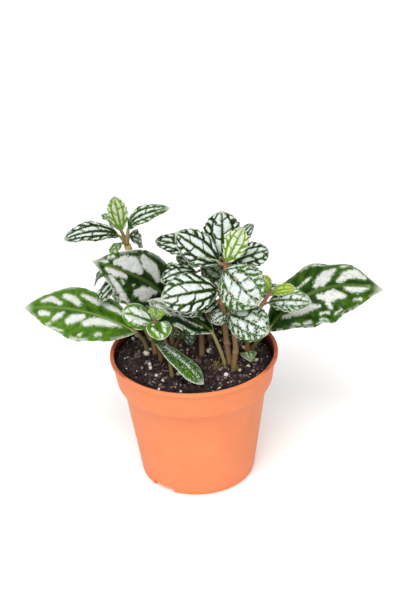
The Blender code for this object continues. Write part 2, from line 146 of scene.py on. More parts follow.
FORMS = {
    "patch": Form(0.85, 0.85, 0.45, 1.9, 2.6, 16, 0.012, 7, 0.2, 0.46, 0.35, 0.3, 4.4),
    "wavy": Form(0.85, 0.85, 0.45, 3, 3.5, 16, 0.012, 7, 0.2, 0.46, 0.35, 0.3, 4),
    "ovate": Form(0.8, 1.05, 0.2, 1, 2.2, 16, 0.02, 7, 0.2, 0.46, 0.5, 0.4, 3.8),
    "spoon": Form(1.3, 0.6, 0.2, 0.5, 2, 9, 0.02, 7, 0.2, 0.5, 0.3, 0.2, 4.2),
    "net": Form(0.8, 0.64, 0.34, 0.9, 2.2, 9, 0.11, 3.3, 0.28, 0.5, 1.3, 0.94, 1.9, 1.1),
    "lace": Form(0.8, 0.64, 0.34, 0.9, 2.2, 10, 0.1, 4.2, 0.3, 0.52, 1.35, 0.9, 4.2, 1.6),
    "round": Form(0.7, 0.55, 0.1, 0.5, 2, 8, 0.03, 2.6, 0.5, 0.66, 1.3, 0.5, 2, 3.4),
    "paper": Form(0.5, 0.8, 0.1, 0.4, 1.5, 5, 0.1, 3, 0.2, 0.5, 0.3, 0.2, 1),
    "young": Form(0.85, 0.7, 0.2, 0.4, 2, 7, 0.2, 3, 0.24, 0.5, 1.15, 0.95, 1.4, 1),
    "heart": Form(0.35, 0.9, 0.1, 0.3, 1.5, 6, 0.07, 3, 0.2, 0.5, 0.9, 0.75, 1.2, 0.5),
}


class Leaf(NamedTuple):
    """One blade: its two ends, its width, the way its upper side looks and how it curves."""
    kind: str
    base: tuple
    tip: tuple
    width: float
    face: tuple
    arch: float = 2
    age: float = 0.85       # 0 for a new lime leaf, 1 for an old dark one; above 1 the silver is painted dark as shade
    node: float = 0         # height on the stem; 0 for its end
    bend: float = 0
    fold: float = 10
    petiole: float = 0.9
    patches: tuple = ()     # silver patches, each a run of (along, across, radius)


# One maker for each kind of leaf, in the order of FORMS.
patched, wavy, ovate, spoon, net, lace, rounded, paper, young, heart = (
    partial(Leaf, kind) for kind in FORMS)


class Stem:
    """A stem's axis from the soil up, its radius at both ends, its leaves, the heights of the scars
    where older leaves stood, and (height, share of red) along it.
    """

    def __init__(self, route, thick, thin, *leaves, rings=(), tints=((88, 0.35), (130, 0.2))):
        self.route, self.thick, self.thin, self.leaves = route, thick, thin, leaves
        self.rings, self.tints = rings, tints

    def red(self, height):
        return np.interp(height, *zip(*self.tints))


# Silver patches of the leaves that the photo shows best, and pink spots, one run a line.
LEFT_PATCHES = (
    ((0.84, -0.45, 2), (0.78, -0.5, 3), (0.7, -0.2, 2)),
    ((0.66, -0.55, 2.5), (0.6, -0.45, 3.2), (0.54, -0.25, 2.2)),
    ((0.52, -0.65, 1.8), (0.45, -0.6, 2.8), (0.38, -0.5, 2.4)),
    ((0.34, -0.55, 2), (0.27, -0.55, 2.8), (0.18, -0.6, 1.6)),
    ((0.86, 0.4, 2), (0.8, 0.35, 2.1)),
    ((0.74, 0.55, 1.6), (0.7, 0.35, 2.4), (0.66, 0.2, 1.5)),
    ((0.6, 0.45, 2.6), (0.55, 0.3, 3.3), (0.48, 0.2, 2.3)),
    ((0.45, 0.4, 2.2), (0.37, 0.25, 3.2), (0.28, 0.2, 2.8), (0.14, 0.12, 1.3)),
    ((0.32, 0.75, 1.5), (0.28, 0.7, 1.3)),
    ((0.48, 0.8, 1.1), (0.46, 0.75, 0.9)),
    ((0.8, 0.9, 0.9), (0.77, 0.75, 0.9)),
    ((0.75, 0.95, 0.9), (0.65, 0.85, 1.1)),
    ((0.56, 0.95, 1), (0.42, 0.95, 0.8)),
)
RIGHT_PATCHES = (
    ((0.48, 0.15, 1.6), (0.54, 0.3, 3.9), (0.6, 0.5, 3.9), (0.66, 0.7, 2)),
    ((0.54, 0.15, 1.9), (0.6, 0.3, 1.9)),
    ((0.68, 0.2, 2.2), (0.74, 0.45, 3.8), (0.8, 0.6, 3.9), (0.86, 0.6, 2.3)),
    ((0.36, 0.4, 0.9), (0.42, 0.45, 1.3), (0.47, 0.5, 1.1)),
    ((0.48, -0.2, 2), (0.55, -0.3, 4), (0.63, -0.3, 3.5), (0.7, -0.4, 1.6)),
    ((0.56, -0.2, 2.5), (0.61, -0.15, 1.6)),
    ((0.54, -0.45, 2.6), (0.56, -0.6, 1.5)),
    ((0.71, -0.1, 1.5), (0.77, -0.2, 2.4), (0.83, -0.2, 2.6), (0.89, -0.05, 1.4)),
    ((0.22, -0.3, 2), (0.29, -0.4, 2.4), (0.38, -0.4, 2.5), (0.46, -0.45, 1.3)),
    ((0.15, -0.15, 1.4), (0.2, -0.3, 1.6)),
    ((0.43, -0.7, 1), (0.52, -0.7, 1.2)),
    ((0.4, -0.85, 0.8), (0.47, -0.9, 0.9)),
    ((0.58, -0.8, 0.9), (0.66, -0.8, 1.1)),
    ((0.79, -0.6, 1.2), (0.85, -0.7, 1.1)),
    ((0.24, -0.8, 1.1), (0.3, -0.8, 1.2)),
    ((0.16, -0.75, 1), (0.2, -0.8, 1)),
    ((0.71, 0.85, 0.8), (0.76, 0.9, 0.7)),
    ((0.53, 0.9, 0.7), (0.6, 0.9, 0.8)),
    ((0.44, 0.9, 0.6), (0.48, 0.9, 0.6)),
    ((0.34, -0.95, 0.6), (0.42, -0.95, 0.6)),
)
MID_LEFT_PATCHES = (
    ((0.78, -0.3, 2.4), (0.71, -0.45, 4.3), (0.62, -0.4, 5.5), (0.49, -0.2, 2.5)),
    ((0.68, -0.25, 3.1), (0.57, -0.2, 3.1)),
    ((0.54, -0.7, 2.8), (0.47, -0.55, 4.4), (0.38, -0.5, 4.2), (0.26, -0.3, 2.4)),
    ((0.84, 0.25, 2.1), (0.75, 0.25, 3.2), (0.63, 0.2, 1.6)),
    ((0.93, -0.3, 1.2), (0.87, -0.3, 1.6)),
    ((0.86, -0.7, 1.2), (0.82, -0.7, 1.4)),
    ((0.79, 0.6, 1.6), (0.69, 0.7, 2.3), (0.56, 0.88, 2.4), (0.5, 0.95, 1.4)),
    ((0.45, 0.55, 2.4), (0.37, 0.4, 4.6), (0.28, 0.4, 4.6)),
    ((0.3, 0.25, 2.8), (0.2, 0.2, 2)),
    ((0.36, 0.6, 2.8), (0.25, 0.6, 2)),
    ((0.66, 0.4, 1), (0.62, 0.45, 0.8)),
    ((0.52, 0.35, 0.9), (0.5, 0.3, 0.7)),
)
CENTRE_PATCHES = (
    ((0.96, -0.3, 2.4), (0.78, -0.1, 4), (0.58, 0.1, 2.4)),
    ((0.9, -0.5, 3), (0.55, -0.6, 3.2)),
    ((0.5, -0.4, 1.6), (0.2, -0.35, 1.2)),
    ((0.84, 0.45, 2.6), (0.62, 0.45, 1.6)),
    ((0.6, 0.3, 1.4), (0.4, 0.35, 1.2)),
    ((0.48, 0.85, 1.1), (0.22, 0.85, 0.8)),
    ((0.34, 0.35, 1), (0.16, 0.3, 0.8)),
)
ROUND_PATCHES = (
    ((0.2, 0.6, 1.4), (0.44, 0.55, 2.6)),
    ((0.56, -0.5, 1.2), (0.64, -0.4, 1.5)),
    ((0.74, -0.2, 1.5), (0.88, 0.1, 1.8)),
    ((0.26, -0.4, 0.9), (0.34, -0.45, 0.8)),
    ((0.6, 0.4, 1.2), (0.72, 0.45, 1.1)),
)
PINK_SPOTS = (
    ((0.3, 0.1, 1.6), (0.38, 0.12, 1.2)),
    ((0.44, -0.5, 1.5), (0.5, -0.45, 1.1)),
    ((0.36, -0.55, 0.9), (0.4, -0.5, 0.8)),
)

STEMS = {
    "leafy_stem_left": Stem(
        ((-28, 9), (-30, 16, 107), (-34, 23, 130), (-40, 27, 155), (-44, 24, 172)), 2, 2.6,
        young((-47, 22, 184), (-50, 14, 214), 15, (0, -1, 0.3), -1, 0.08, fold=14, petiole=1.6),
        net((-42, 20, 186), (-12, 8, 206), 13, (-0.7, -0.6, 0.5), 9, 0.66, fold=14, petiole=1.6),
        net((-49, 20, 181), (-86, 4, 187), 17, (0.1, -0.5, 0.85), 7, fold=14, petiole=1.2),
        net((-48, 27, 181), (-61, 37, 190), 13, (0.4, -0.1, 0.9), 2, 0.5),
        net((-42, 26, 177), (-34, 36, 167), 14, (0.2, -0.6, 0.7), 2, 0.75),
        young((-48, 20, 175), (-55, 12, 170), 8, (-0.4, -0.7, 0.5), 1, 0.3),
        net((-47, 18, 157), (-68, 9, 147), 9, (-0.5, -0.1, 0.8), 6, node=150),
        net((-46, 19, 150), (-66, 3, 137), 13, (-0.4, -0.5, 0.7), 3, 0.8, node=145),
        rings=(128, 152, 172),
        tints=((90, 0.25), (150, 0.3), (166, 0.6), (169, 1.5), (171.8, 1.4), (172, 0.35))),
    "leafy_stem_front": Stem(
        ((-16, -22), (-18, -12, 104), (-21, -8, 115), (-25, -12, 129)), 1.5, 1.2,
        rounded((-28, -15, 130), (-48, -22, 143), 18, (0.2, -0.7, 0.75), 2, 0.45, fold=6),
        rounded((-25, -16, 130), (-22, -33, 126), 18, (0.1, -0.5, 0.9), 3, 0.34, fold=18,
                patches=ROUND_PATCHES),
        young((-25, -14, 132), (-19, -12, 139), 6, (-0.6, -0.7, 0.5), 0, 0.03),
        young((-27, -13, 132), (-28, -10, 139), 6, (0.4, -0.8, 0.4), 0, 0.03),
        rounded((-28, -12, 131), (-27, -4, 137), 7, (0, -0.7, 0.7), 1, 0.35),
        tints=((88, 0.1), (125, 0.25))),
    "leafy_stem_foot": Stem(
        ((-24, 3), (-24.5, 0, 104), (-25, -3, 112)), 1.9, 1.2,
        spoon((-30, -9, 114), (5.5, -40, 93.5), 17, (0.3, -0.2, 0.9), 3, 0.6, fold=4),
        rounded((-23, 1, 115), (-16, 12, 119), 9, (0, -0.3, 0.9), 1, 0.6)),
    "leafy_stem_sprig": Stem(
        ((-13, 17), (-11, 17, 96), (-8, 16, 101)), 1.3, 1,
        young((-7, 15, 102), (-1, 10, 96), 11, (0.5, -0.6, 0.7), 3, 0.6, fold=14),
        young((-9, 15, 102), (-16, 11, 107), 8, (-0.1, -0.6, 0.8), 1, 0.55)),
    "leafy_stem_centre": Stem(
        ((5.6, 6), (6, 10, 112), (8, 12, 140), (9, 8, 163)), 2.1, 1.2,
        young((9, 6, 164), (-2, -1, 170), 8, (-0.3, -0.8, 0.4), 1, 0.4),
        net((4, 4, 158), (-21, 0, 154), 17, (0, -0.5, 0.9), 4, 0.95, node=158),
        net((7, 10, 170), (-24, 18, 177), 17, (0.2, -0.6, 0.8), 3, 0.95),
        net((11, 12, 162), (26, 30, 160), 20, (0.2, 0.3, 0.9), 4, 0.9),
        net((8, 11, 163), (-10, 12, 166), 14, (0, -0.75, 0.65), 2, 1.3),
        net((8, 5, 166), (22, 3, 154), 20, (0.1, -0.8, 0.6), 2, 1.4, node=160),
        rings=(118, 143), tints=((90, 0.3), (155, 0.6))),
    "leafy_stem_tall": Stem(
        ((25, -6.5), (23.5, -4.5, 105), (21, -4, 139), (21, -4, 149), (25, -2, 166)), 2.1, 1.5,
        young((25, -4, 169), (37, -9, 197), 18, (-0.3, -1, 0.1), -1, 0.1, fold=12),
        young((22, -4, 167), (5, -12, 177), 9, (-0.1, 0.1, 1), 2, 0.25, fold=14),
        net((23, 0, 171), (23, 10, 201.5), 27, (0, -1, 0.35), 1, 1.08, fold=8),
        net((20, -3, 168), (-9, -8, 195), 23, (0.3, -0.9, 0.3), 3, 0.9, fold=8),
        net((27, 3, 170), (45, 24, 184), 13, (-0.3, -0.5, 0.8), 3, 0.7),
        net((28, 1, 165.5), (55, 10, 170), 19, (-0.1, -0.75, 0.6), 3),
        lace((23.5, -8, 166), (46, -26, 147), 36, (-0.3, -0.8, 0.55), 4, 0.66, fold=5,
             patches=PINK_SPOTS),
        net((19, -6, 149), (-21, -17, 149), 30, (0, -0.75, 0.65), 4, node=149),
        net((25, 1, 150), (48, 30, 142), 24, (0.2, 0.3, 0.9), 5, 0.9, node=149),
        net((22, 3, 138), (22.5, 15, 119), 22, (0, -0.9, 0.4), 2, 1.4, node=138),
        net((18, -8, 141), (-9, -18, 137), 14, (0, -0.6, 0.8), 3, 0.9, node=138),
        rings=(106, 139, 150),
        tints=((90, 0.25), (120, 0.3), (135, 0.5), (139, 0.95), (144, 0.5), (157, 0.6), (166, 0.8))),
    "leafy_stem_low": Stem(
        ((28, -15), (29.5, -13, 106), (28, -10, 119), (25, -8, 130)), 2.2, 1.5,
        lace((24, -10, 131), (13, -15, 128), 14, (-0.3, -0.5, 0.8), 2, 0.8),
        lace((25, -12, 133), (52, -27, 124.5), 28, (0.05, -0.75, 0.65), 5, 0.7, fold=6),
        net((28, -6, 132), (46, -4, 140), 19, (0, -0.8, 0.6), 2, 1.2),
        rings=(103,), tints=((88, 0), (94, 0.3), (125, 0.3))),
    "leafy_stem_right": Stem(
        ((38.5, 4), (39, 2, 107), (46, 2, 125), (55, 2, 141)), 1.8, 1.3,
        young((54.5, 1, 142.5), (48.5, -1, 156.5), 10, (0.3, -0.9, 0.3), 1, 0),
        young((56, 1, 141), (73, -2, 145), 10, (0, -0.6, 0.8), 2, 0, fold=16),
        lace((54, 0, 134), (83, -10, 138), 19, (0, -0.6, 0.8), 4, 0.62, node=131),
        heart((38.5, -1, 95), (40, -12, 93), 11, (0, -0.2, 1), 1, 0.3, node=93),
        paper((44, -0.5, 117), (49, -3, 126), 4, (0.6, -0.8, 0.1), 0.8, 0.5, node=117, petiole=0.4),
        paper((41, 0, 113), (37, -2.5, 120), 3.5, (-0.5, -0.9, 0.2), 0.8, 0.5, node=113, petiole=0.4),
        paper((42, -1, 108), (45, -3, 114), 3, (0.3, -0.9, 0.2), 0.6, 0.5, node=109, petiole=0.4),
        rings=(105, 126, 133), tints=((90, 0.5), (96, 0.9), (110, 0.6), (130, 0.6), (140, 0.9))),
    "leafy_stem_back_left": Stem(
        ((-14, 40), (-16, 44, 108), (-20, 48, 126)), 1.9, 1.3,
        net((-24, 46, 128), (-54, 40, 134), 20, (0, -0.2, 1), 5),
        net((-22, 51, 128), (-36, 76, 128), 20, (-0.1, 0.3, 1), 5, 0.95),
        net((-17, 51, 128), (-6, 77, 124), 19, (0.1, 0.3, 1), 5, 0.8),
        net((-18, 45, 129), (0, 34, 140), 17, (-0.3, -0.4, 0.9), 3, 0.9),
        young((-21, 48, 130), (-26, 50, 144), 11, (0.2, -0.9, 0.4), 1, 0.1),
        young((-19, 49, 130), (-13, 54, 141), 9, (-0.3, -0.7, 0.5), 1, 0.2),
        rings=(106,)),
    "leafy_stem_back": Stem(
        ((12, 28), (13, 34, 108), (14, 40, 128), (16, 43, 138)), 2, 1.3,
        net((12, 46, 139), (2, 68, 142), 20, (0, 0.1, 1), 5, 0.9),
        net((20, 46, 139), (40, 66, 140), 20, (0.1, 0.1, 1), 5),
        net((21, 41, 139), (48, 38, 140), 18, (0, 0.1, 1), 4, 0.75),
        young((15, 44, 142), (14, 46, 156), 11, (0, -0.9, 0.3), 1, 0.1),
        young((18, 43, 140), (27, 46, 152), 10, (-0.5, -0.6, 0.6), 1, 0.2),
        net((11, 43, 124), (-12, 64, 114), 16, (-0.2, 0.3, 1), 4, 0.95, node=118),
        rings=(108, 128)),
    "leafy_stem_back_right": Stem(
        ((33, 30), (37, 34, 106), (42, 36, 120)), 1.8, 1.3,
        net((47, 36, 120), (78, 45, 112), 20, (0, 0, 1), 5),
        net((45, 40, 121), (63, 64, 105), 19, (0.1, 0.2, 1), 5, 0.95),
        net((41, 40, 122), (38, 62, 118), 17, (0, 0.3, 1), 4, 0.8),
        young((43, 36, 123), (46, 38, 136), 10, (-0.2, -0.9, 0.4), 1, 0.15),
        net((43, 33, 121), (55, 21, 126), 14, (0, 0, 1), 3, 0.8),
        rings=(104,)),
}

LARGE_LEAVES = {
    "large_leaf_left": Stem(
        ((-33, 6), (-35, 3, 104)), 1.5, 1.2,
        patched((-40, -4, 116.5), (-118, 5, 134.5), 40, (0, -0.6, 0.8), 5, 0.5, bend=-5, fold=-10,
                patches=LEFT_PATCHES)),
    "large_leaf_mid_left": Stem(
        ((-15.5, 24), (-16, 27, 108)), 1.6, 1.2,
        ovate((-18, 28, 126), (-67, -8, 176), 40, (0, -0.85, 0.5), 5, 0.86, bend=-4,
              patches=MID_LEFT_PATCHES)),
    "large_leaf_centre": Stem(
        ((21.4, -9.2), (18.5, -8.5, 102)), 1.4, 1.2,
        patched((14, -8, 116), (-31, 8, 135), 32, (0.3, -0.3, 0.9), 4, 0.95, fold=8,
                patches=CENTRE_PATCHES)),
    "large_leaf_right": Stem(
        ((42, 9), (46, 8, 98)), 1.4, 1.2,
        wavy((53, 8, 106.5), (137, 20, 129), 47, (0, -0.6, 0.8), 11, 0.73, bend=12, fold=-10,
             patches=RIGHT_PATCHES)),
    "large_leaf_back_left": Stem(
        ((-32, 28), (-38, 36, 102)), 1.4, 1.2,
        patched((-40, 44, 108), (-52, 92, 98), 32, (-0.1, 0.3, 1), 8, 0.8, fold=8)),
    "large_leaf_back_right": Stem(
        ((22, 42), (22, 52, 100)), 1.4, 1.2,
        patched((22, 62, 106), (30, 118, 92), 34, (0, 0.3, 1), 8, 0.7, fold=8)),
}

# Perlite that the photo shows on the soil: x, y and size.
PERLITE = (
    (-34, 5, 3.4), (-24, 3, 2.6), (-32, -4, 2.4), (-31.5, -8, 2.6), (-37.5, -9, 1.5), (-49, 9, 1.3),
    (-46, 35, 2.6), (-51, 32, 2.2), (-52, 24, 2.0), (-27, -21, 2.4), (-22.5, -26, 2.0), (-11.5, -20, 2.4),
    (-13, -31, 1.0), (5, -34, 2.4), (44, -6, 2.2), (38, -13, 2.2), (32, -19, 2.0), (22, -23, 3.0),
    (17, -39, 2.2), (12, 20, 1.4), (-25, -40, 1.4), (-10, -42, 1.6), (-40, 3, 1.0), (-32, -26, 1.0),
)
MOSS = ((17, -10), (29, -14))       # clumps at the foot of the right-hand stems
MOSS_BITS = 30


def ease(value, low, high):
    """0 below low, 1 above high and smooth between."""
    t = np.clip((value - low) / (high - low), 0, 1)
    return t * t * (3 - 2 * t)


def unit(vectors):
    return vectors / np.linalg.norm(vectors, axis=-1, keepdims=True)


def link(name, data):
    """A new object of the scene."""
    made = bpy.data.objects.new(name, data)
    scene.collection.objects.link(made)
    return made


class Skin:
    """Points, faces and painted values of one piece, gathered before its mesh is made."""

    def __init__(self, *values):
        self.points, self.flat, self.faces, self.slots, self.size = [], [], [], [], 0
        self.values = {name: [] for name in values}

    def add(self, points, faces, slots=0, flat=None, **values):
        """Faces index the given points; slots is one material number or one for each face."""
        self.points.append(points)
        self.flat.append(points if flat is None else flat)
        self.faces += [tuple(k + self.size for k in face) for face in faces]
        self.slots += slots if isinstance(slots, list) else [slots] * len(faces)
        for name, kept in self.values.items():
            kept.append(np.broadcast_to(values.get(name, 0.0), len(points)))
        self.size += len(points)

    def piece(self, name, materials):
        mesh = bpy.data.meshes.new(name)
        mesh.from_pydata((np.concatenate(self.points) * MM).tolist(), [], self.faces)
        for finish in materials:
            mesh.materials.append(finish)
        mesh.polygons.foreach_set("material_index", self.slots)
        mesh.polygons.foreach_set("use_smooth", [True] * len(self.faces))
        flat = mesh.attributes.new("flat", "FLOAT_VECTOR", "POINT")
        flat.data.foreach_set("vector", np.concatenate(self.flat).astype(np.float32).ravel())
        for value, kept in self.values.items():
            layer = mesh.attributes.new(value, "FLOAT", "POINT")
            layer.data.foreach_set("value", np.concatenate(kept).astype(np.float32))
        return link(name, mesh)


class Nodes:
    """Short ways to add nodes to one node tree."""

    def __init__(self, tree):
        self.tree = tree

    def put(self, socket, value):
        if isinstance(value, bpy.types.NodeSocket):
            self.tree.links.new(value, socket)
        else:
            socket.default_value = value

    def node(self, kind, inputs, output=0, **settings):
        made = self.tree.nodes.new(f"ShaderNode{kind}")
        for name, value in settings.items():
            setattr(made, name, value)
        for socket, value in inputs.items():
            self.put(made.inputs[socket], value)
        return made.outputs[output]

    def math(self, operation, a, b=0.0, c=0.0):
        return self.node("Math", {0: a, 1: b, 2: c}, operation=operation)

    def times(self, a, b):
        return self.math("MULTIPLY", a, b)

    def add(self, *terms):
        total = terms[0]
        for term in terms[1:]:
            total = self.math("ADD", total, term)
        return total

    def step(self, value, low, high, start=0.0, end=1.0, way="SMOOTHSTEP"):
        inputs = {"Value": value, "From Min": low, "From Max": high, "To Min": start, "To Max": end}
        return self.node("MapRange", inputs, "Result", interpolation_type=way)


class Shader(Nodes):
    """One new material, whose colour is laid on coat by coat."""

    def __init__(self, name, roughness, specular):
        self.material = bpy.data.materials.new(name)
        self.material.use_nodes = True
        super().__init__(self.material.node_tree)
        self.surface = self.tree.nodes["Principled BSDF"].inputs
        self.set("Roughness", roughness)
        self.set("Specular IOR Level", specular)
        self.shown = None

    def set(self, name, value):
        self.put(self.surface[name], value)

    def values(self, *names):
        """Numbers painted on the mesh."""
        return [self.node("Attribute", {}, "Fac", attribute_name=name) for name in names]

    def noise(self, scale, detail=2.0, rough=0.5, stretch=None):
        place = self.node("Attribute", {}, "Vector", attribute_name="flat")
        if stretch:
            place = self.node("VectorMath", {0: place, 1: stretch}, operation="MULTIPLY")
        inputs = {"Vector": place, "Scale": scale, "Detail": detail, "Roughness": rough}
        return self.node("TexNoise", inputs, "Fac")

    def swing(self, source, amount):
        """A noise turned into a push of up to about half the amount to either side."""
        return self.math("MULTIPLY_ADD", source, amount, -amount / 2)

    def blend(self, share, a, b):
        mixer = self.tree.nodes.new("ShaderNodeMix")
        mixer.data_type = "RGBA"
        for socket, value in ((0, share), (6, a), (7, b)):
            self.put(mixer.inputs[socket], colour(value))
        return mixer.outputs[2]

    def coat(self, share, shown):
        self.shown = self.blend(share, self.shown, shown)

    def ramp(self, share, *stops):
        made = self.tree.nodes.new("ShaderNodeValToRGB")
        self.put(made.inputs[0], share)
        marks = made.color_ramp.elements
        for k, (place, shown) in enumerate(stops):
            mark = marks[k] if k < 2 else marks.new(place)
            mark.position = place
            mark.color = colour(shown)
        return made.outputs["Color"]

    def bump(self, height, strength, distance):
        inputs = {"Height": height, "Strength": strength, "Distance": distance * MM}
        self.set("Normal", self.node("Bump", inputs, "Normal"))

    def done(self, roughness=None):
        self.set("Base Color", colour(self.shown))
        if roughness is not None:
            self.set("Roughness", roughness)
        return self.material


def colour(shown):
    """A screen colour of three numbers up to 255 as linear light; anything else unchanged."""
    if not isinstance(shown, tuple):
        return shown
    return (*(((c / 255 + 0.055) / 1.055) ** 2.4 if c > 10 else c / 255 / 12.92 for c in shown), 1)


def half_width(leaf, u):
    form = FORMS[leaf.kind]
    widest = form.reach / (form.reach + form.taper)
    outline = (u / widest) ** form.reach * ((1 - u) / (1 - widest)) ** form.taper
    return leaf.width / 2 * outline * (1 - form.pinch * np.exp((u - 1) / 0.06)) + ROOT_HALF * (1 - u)


def blade_frame(leaf, u):
    """Midrib, forward, side and normal at each u, as in the part's source."""
    base, tip, face = (np.array(place, float) for place in (leaf.base, leaf.tip, leaf.face))
    chord = tip - base
    up = unit(face - chord * (face @ chord) / (chord @ chord))
    bow = up * leaf.arch + unit(np.cross(up, chord)) * leaf.bend
    midrib = base + np.outer(u, chord) + np.outer(4 * u * (1 - u), bow)
    forward = unit(chord + np.outer(4 * (1 - 2 * u), bow))
    normal = unit(up - forward * (forward @ up)[:, None])
    return midrib, forward, np.cross(normal, forward), normal


def blade_points(leaf, u, w, relief):
    """The blade's middle surface, raised by its relief."""
    form = FORMS[leaf.kind]
    midrib, _, side, normal = blade_frame(leaf, u)
    half = half_width(leaf, u)
    fold = radians(leaf.fold)
    beat = 2 * pi * form.waves * u + leaf.width + np.where(w < 0, 2, 0)
    ripple = form.wave * np.sin(beat) * w * w * np.minimum(1, 6 * u * (1 - u))
    lift = half * (abs(w) * sin(fold) - CUP * w * w) + ripple + relief
    return midrib + side * (half * w * cos(fold))[:, None] + normal * lift[:, None]


def vein_distance(leaf, u, w, seed):
    """Millimetres from the nearest vein's edge, less than 0 on a vein, and from the midrib's middle."""
    form, length = FORMS[leaf.kind], dist(leaf.base, leaf.tip)
    half = np.maximum(half_width(leaf, u), 0.05)
    size = min(1.2, sqrt(length / 32)) * (0.72 + 0.4 * leaf.age)
    across = abs(w) * half
    rib = across - form.rib * size * (1 - 0.6 * u)
    lateral = form.lateral * ease(u, -0.02, 0.16) * (1 + 0.05 * np.sin(9 * u + seed))
    long_vein = abs(abs(w) - lateral) * half - form.vein * size * (1.1 - 0.5 * u)
    shift = np.where(w < 0, 0.5, 0.0) + 0.37 * seed
    curve = 0.35 + 2.6 * u * (1 - u)
    wobble = 0.1 * np.sin(23 * u + 7 * w + seed)
    inner = (u - form.slant * abs(w) * curve) * form.cells + shift + wobble
    outer = (u - form.slant * 1.3 * (abs(w) - 0.3) * curve) * form.cells * 1.7 + shift + wobble
    gap_inner = abs(inner - np.round(inner)) / form.cells * length * 0.8
    gap_outer = abs(outer - np.round(outer)) / (form.cells * 1.7) * length * 0.8
    cross = np.where(abs(w) < lateral, gap_inner - form.vein * size * 0.6,
                     gap_outer - form.vein * size - 0.12)
    return np.minimum(np.minimum(rib, long_vein), cross), across, size


def patch_depth(leaf, u, w, patches):
    """Millimetres inside the nearest silver patch, less than 0 outside, with places as complex numbers."""
    length = dist(leaf.base, leaf.tip)
    place = w * half_width(leaf, u) + 1j * u * length
    depth = np.full(len(u), -9.0)
    for pair in (pair for patch in patches for pair in zip(patch, patch[1:])):
        along, across, radii = np.array(pair).T
        start, end = across * half_width(leaf, along) + 1j * along * length
        t = np.clip(((place - start) * np.conj(end - start)).real / abs(end - start) ** 2, 0, 1)
        away = abs(place - start - t * (end - start))
        depth = np.maximum(depth, radii[0] + t * (radii[1] - radii[0]) - away)
    return depth


def usual_patches(draw):
    """Patches and edge dashes for a large leaf that the photo doesn't show."""
    patches = []
    for side in (-1, 1):
        for k in range(5):
            start = 0.14 + 0.165 * k + 0.05 * (side > 0) + draw.uniform(-0.01, 0.01)
            across, radius = 0.24 + draw.uniform(0, 0.05), 1.7 + 1.4 * sin(3 * start)
            patches.append(((start, side * across, radius * 0.7),
                            (start + 0.09, side * (across + 0.3), radius * 1.2)))
        for k in range(7):
            start = 0.2 + 0.1 * k + draw.uniform(-0.03, 0.03)
            if draw.random() < 0.75:
                edge = side * draw.uniform(0.78, 0.9)
                length = draw.uniform(0.02, 0.05)
                patches.append(((start, edge, draw.uniform(0.7, 1.2)),
                                (start + length, edge, draw.uniform(0.6, 1.0))))
    return patches


# Values painted on leaves and stems, and what isn't 0 at a blade's tip. A ring is a scar on a
# stem and a pink spot on a blade.
PAINTED = ("silver", "edge", "across", "along", "vein", "border", "age", "rag", "red", "ring", "high")
AT_TIP = {"silver": -1, "vein": 1, "border": -1, "along": 1}


def silver_and_relief(leaf, u, w, seed):
    """How far each point is raised, and how deep it lies in silver and away from veins and edge."""
    form = FORMS[leaf.kind]
    half = half_width(leaf, u)
    vein, across, size = vein_distance(leaf, u, w, seed)
    edge = (1 - abs(w)) * np.maximum(half, 0.01)
    border = edge - form.margin * size
    if leaf.kind in ("patch", "wavy", "ovate"):
        silver = patch_depth(leaf, u, w, leaf.patches or usual_patches(random.Random(seed))) - 0.25
        silver = np.minimum(silver, across - form.rib * 2.4 * (1 - 0.5 * u))
        relief = 0.5 * ease(silver, -1.2, 1.6) - 0.5 * np.exp(-(across / 0.9) ** 2) * (1 - u)
        relief += 0.35 * ease(vein, 0, 2.4) * ease(edge, 0, 2)
    elif leaf.kind == "round":
        silver = np.minimum(vein, patch_depth(leaf, u, w, leaf.patches) if leaf.patches else edge - 2.2)
        relief = 0.4 * ease(silver, -0.4, 1.2) - 0.2 * np.exp(-(across / 0.8) ** 2)
    elif leaf.kind == "spoon":
        streak = 0.6 - 0.7 * u - 0.3 * abs(w * half - 0.1 * half)
        silver = np.maximum(np.maximum(streak, 0.4 - 0.8 * edge), -0.9) - 2 * ease(u, 0.28, 0)
        relief = 0.2 * ease(vein, 0, 1.2) - 0.25 * np.exp(-(across / 0.7) ** 2)
    elif leaf.kind == "paper":
        silver, relief = 2.0 - 3 * u, 0.2 * ease(vein, 0, 1)
    else:
        silver = vein
        relief = 0.6 * ease(vein, -0.2, 1.6) * min(1, dist(leaf.base, leaf.tip) / 24)
    painted = {"silver": silver, "edge": edge, "across": across, "along": u, "vein": vein, "border": border}
    return relief * ease(edge, 0, 0.8), painted


def blade_grid(rows, columns):
    """Faces of a blade's upper side, lower side and edge, with the material number of each."""
    wide = 2 * columns + 1
    tip = rows * wide
    lower = tip + 1
    at = [[min(i * wide + j, tip) for j in range(wide)] for i in range(rows + 1)]
    upper = [tuple(dict.fromkeys((at[i][j], at[i + 1][j], at[i + 1][j + 1], at[i][j + 1])))
             for i in range(rows) for j in range(wide - 1)]
    rim = [pair for a, b in zip(at, at[1:]) for pair in ((a[-1], b[-1]), (b[0], a[0]))]
    edge = [(a, b, b + lower, a + lower) for a, b in (*rim, *zip(at[0], at[0][1:]))]
    under = [tuple(k + lower for k in reversed(face)) for face in upper]
    return [*upper, *edge, *under], [0] * (len(upper) + len(edge)) + [1] * len(under)


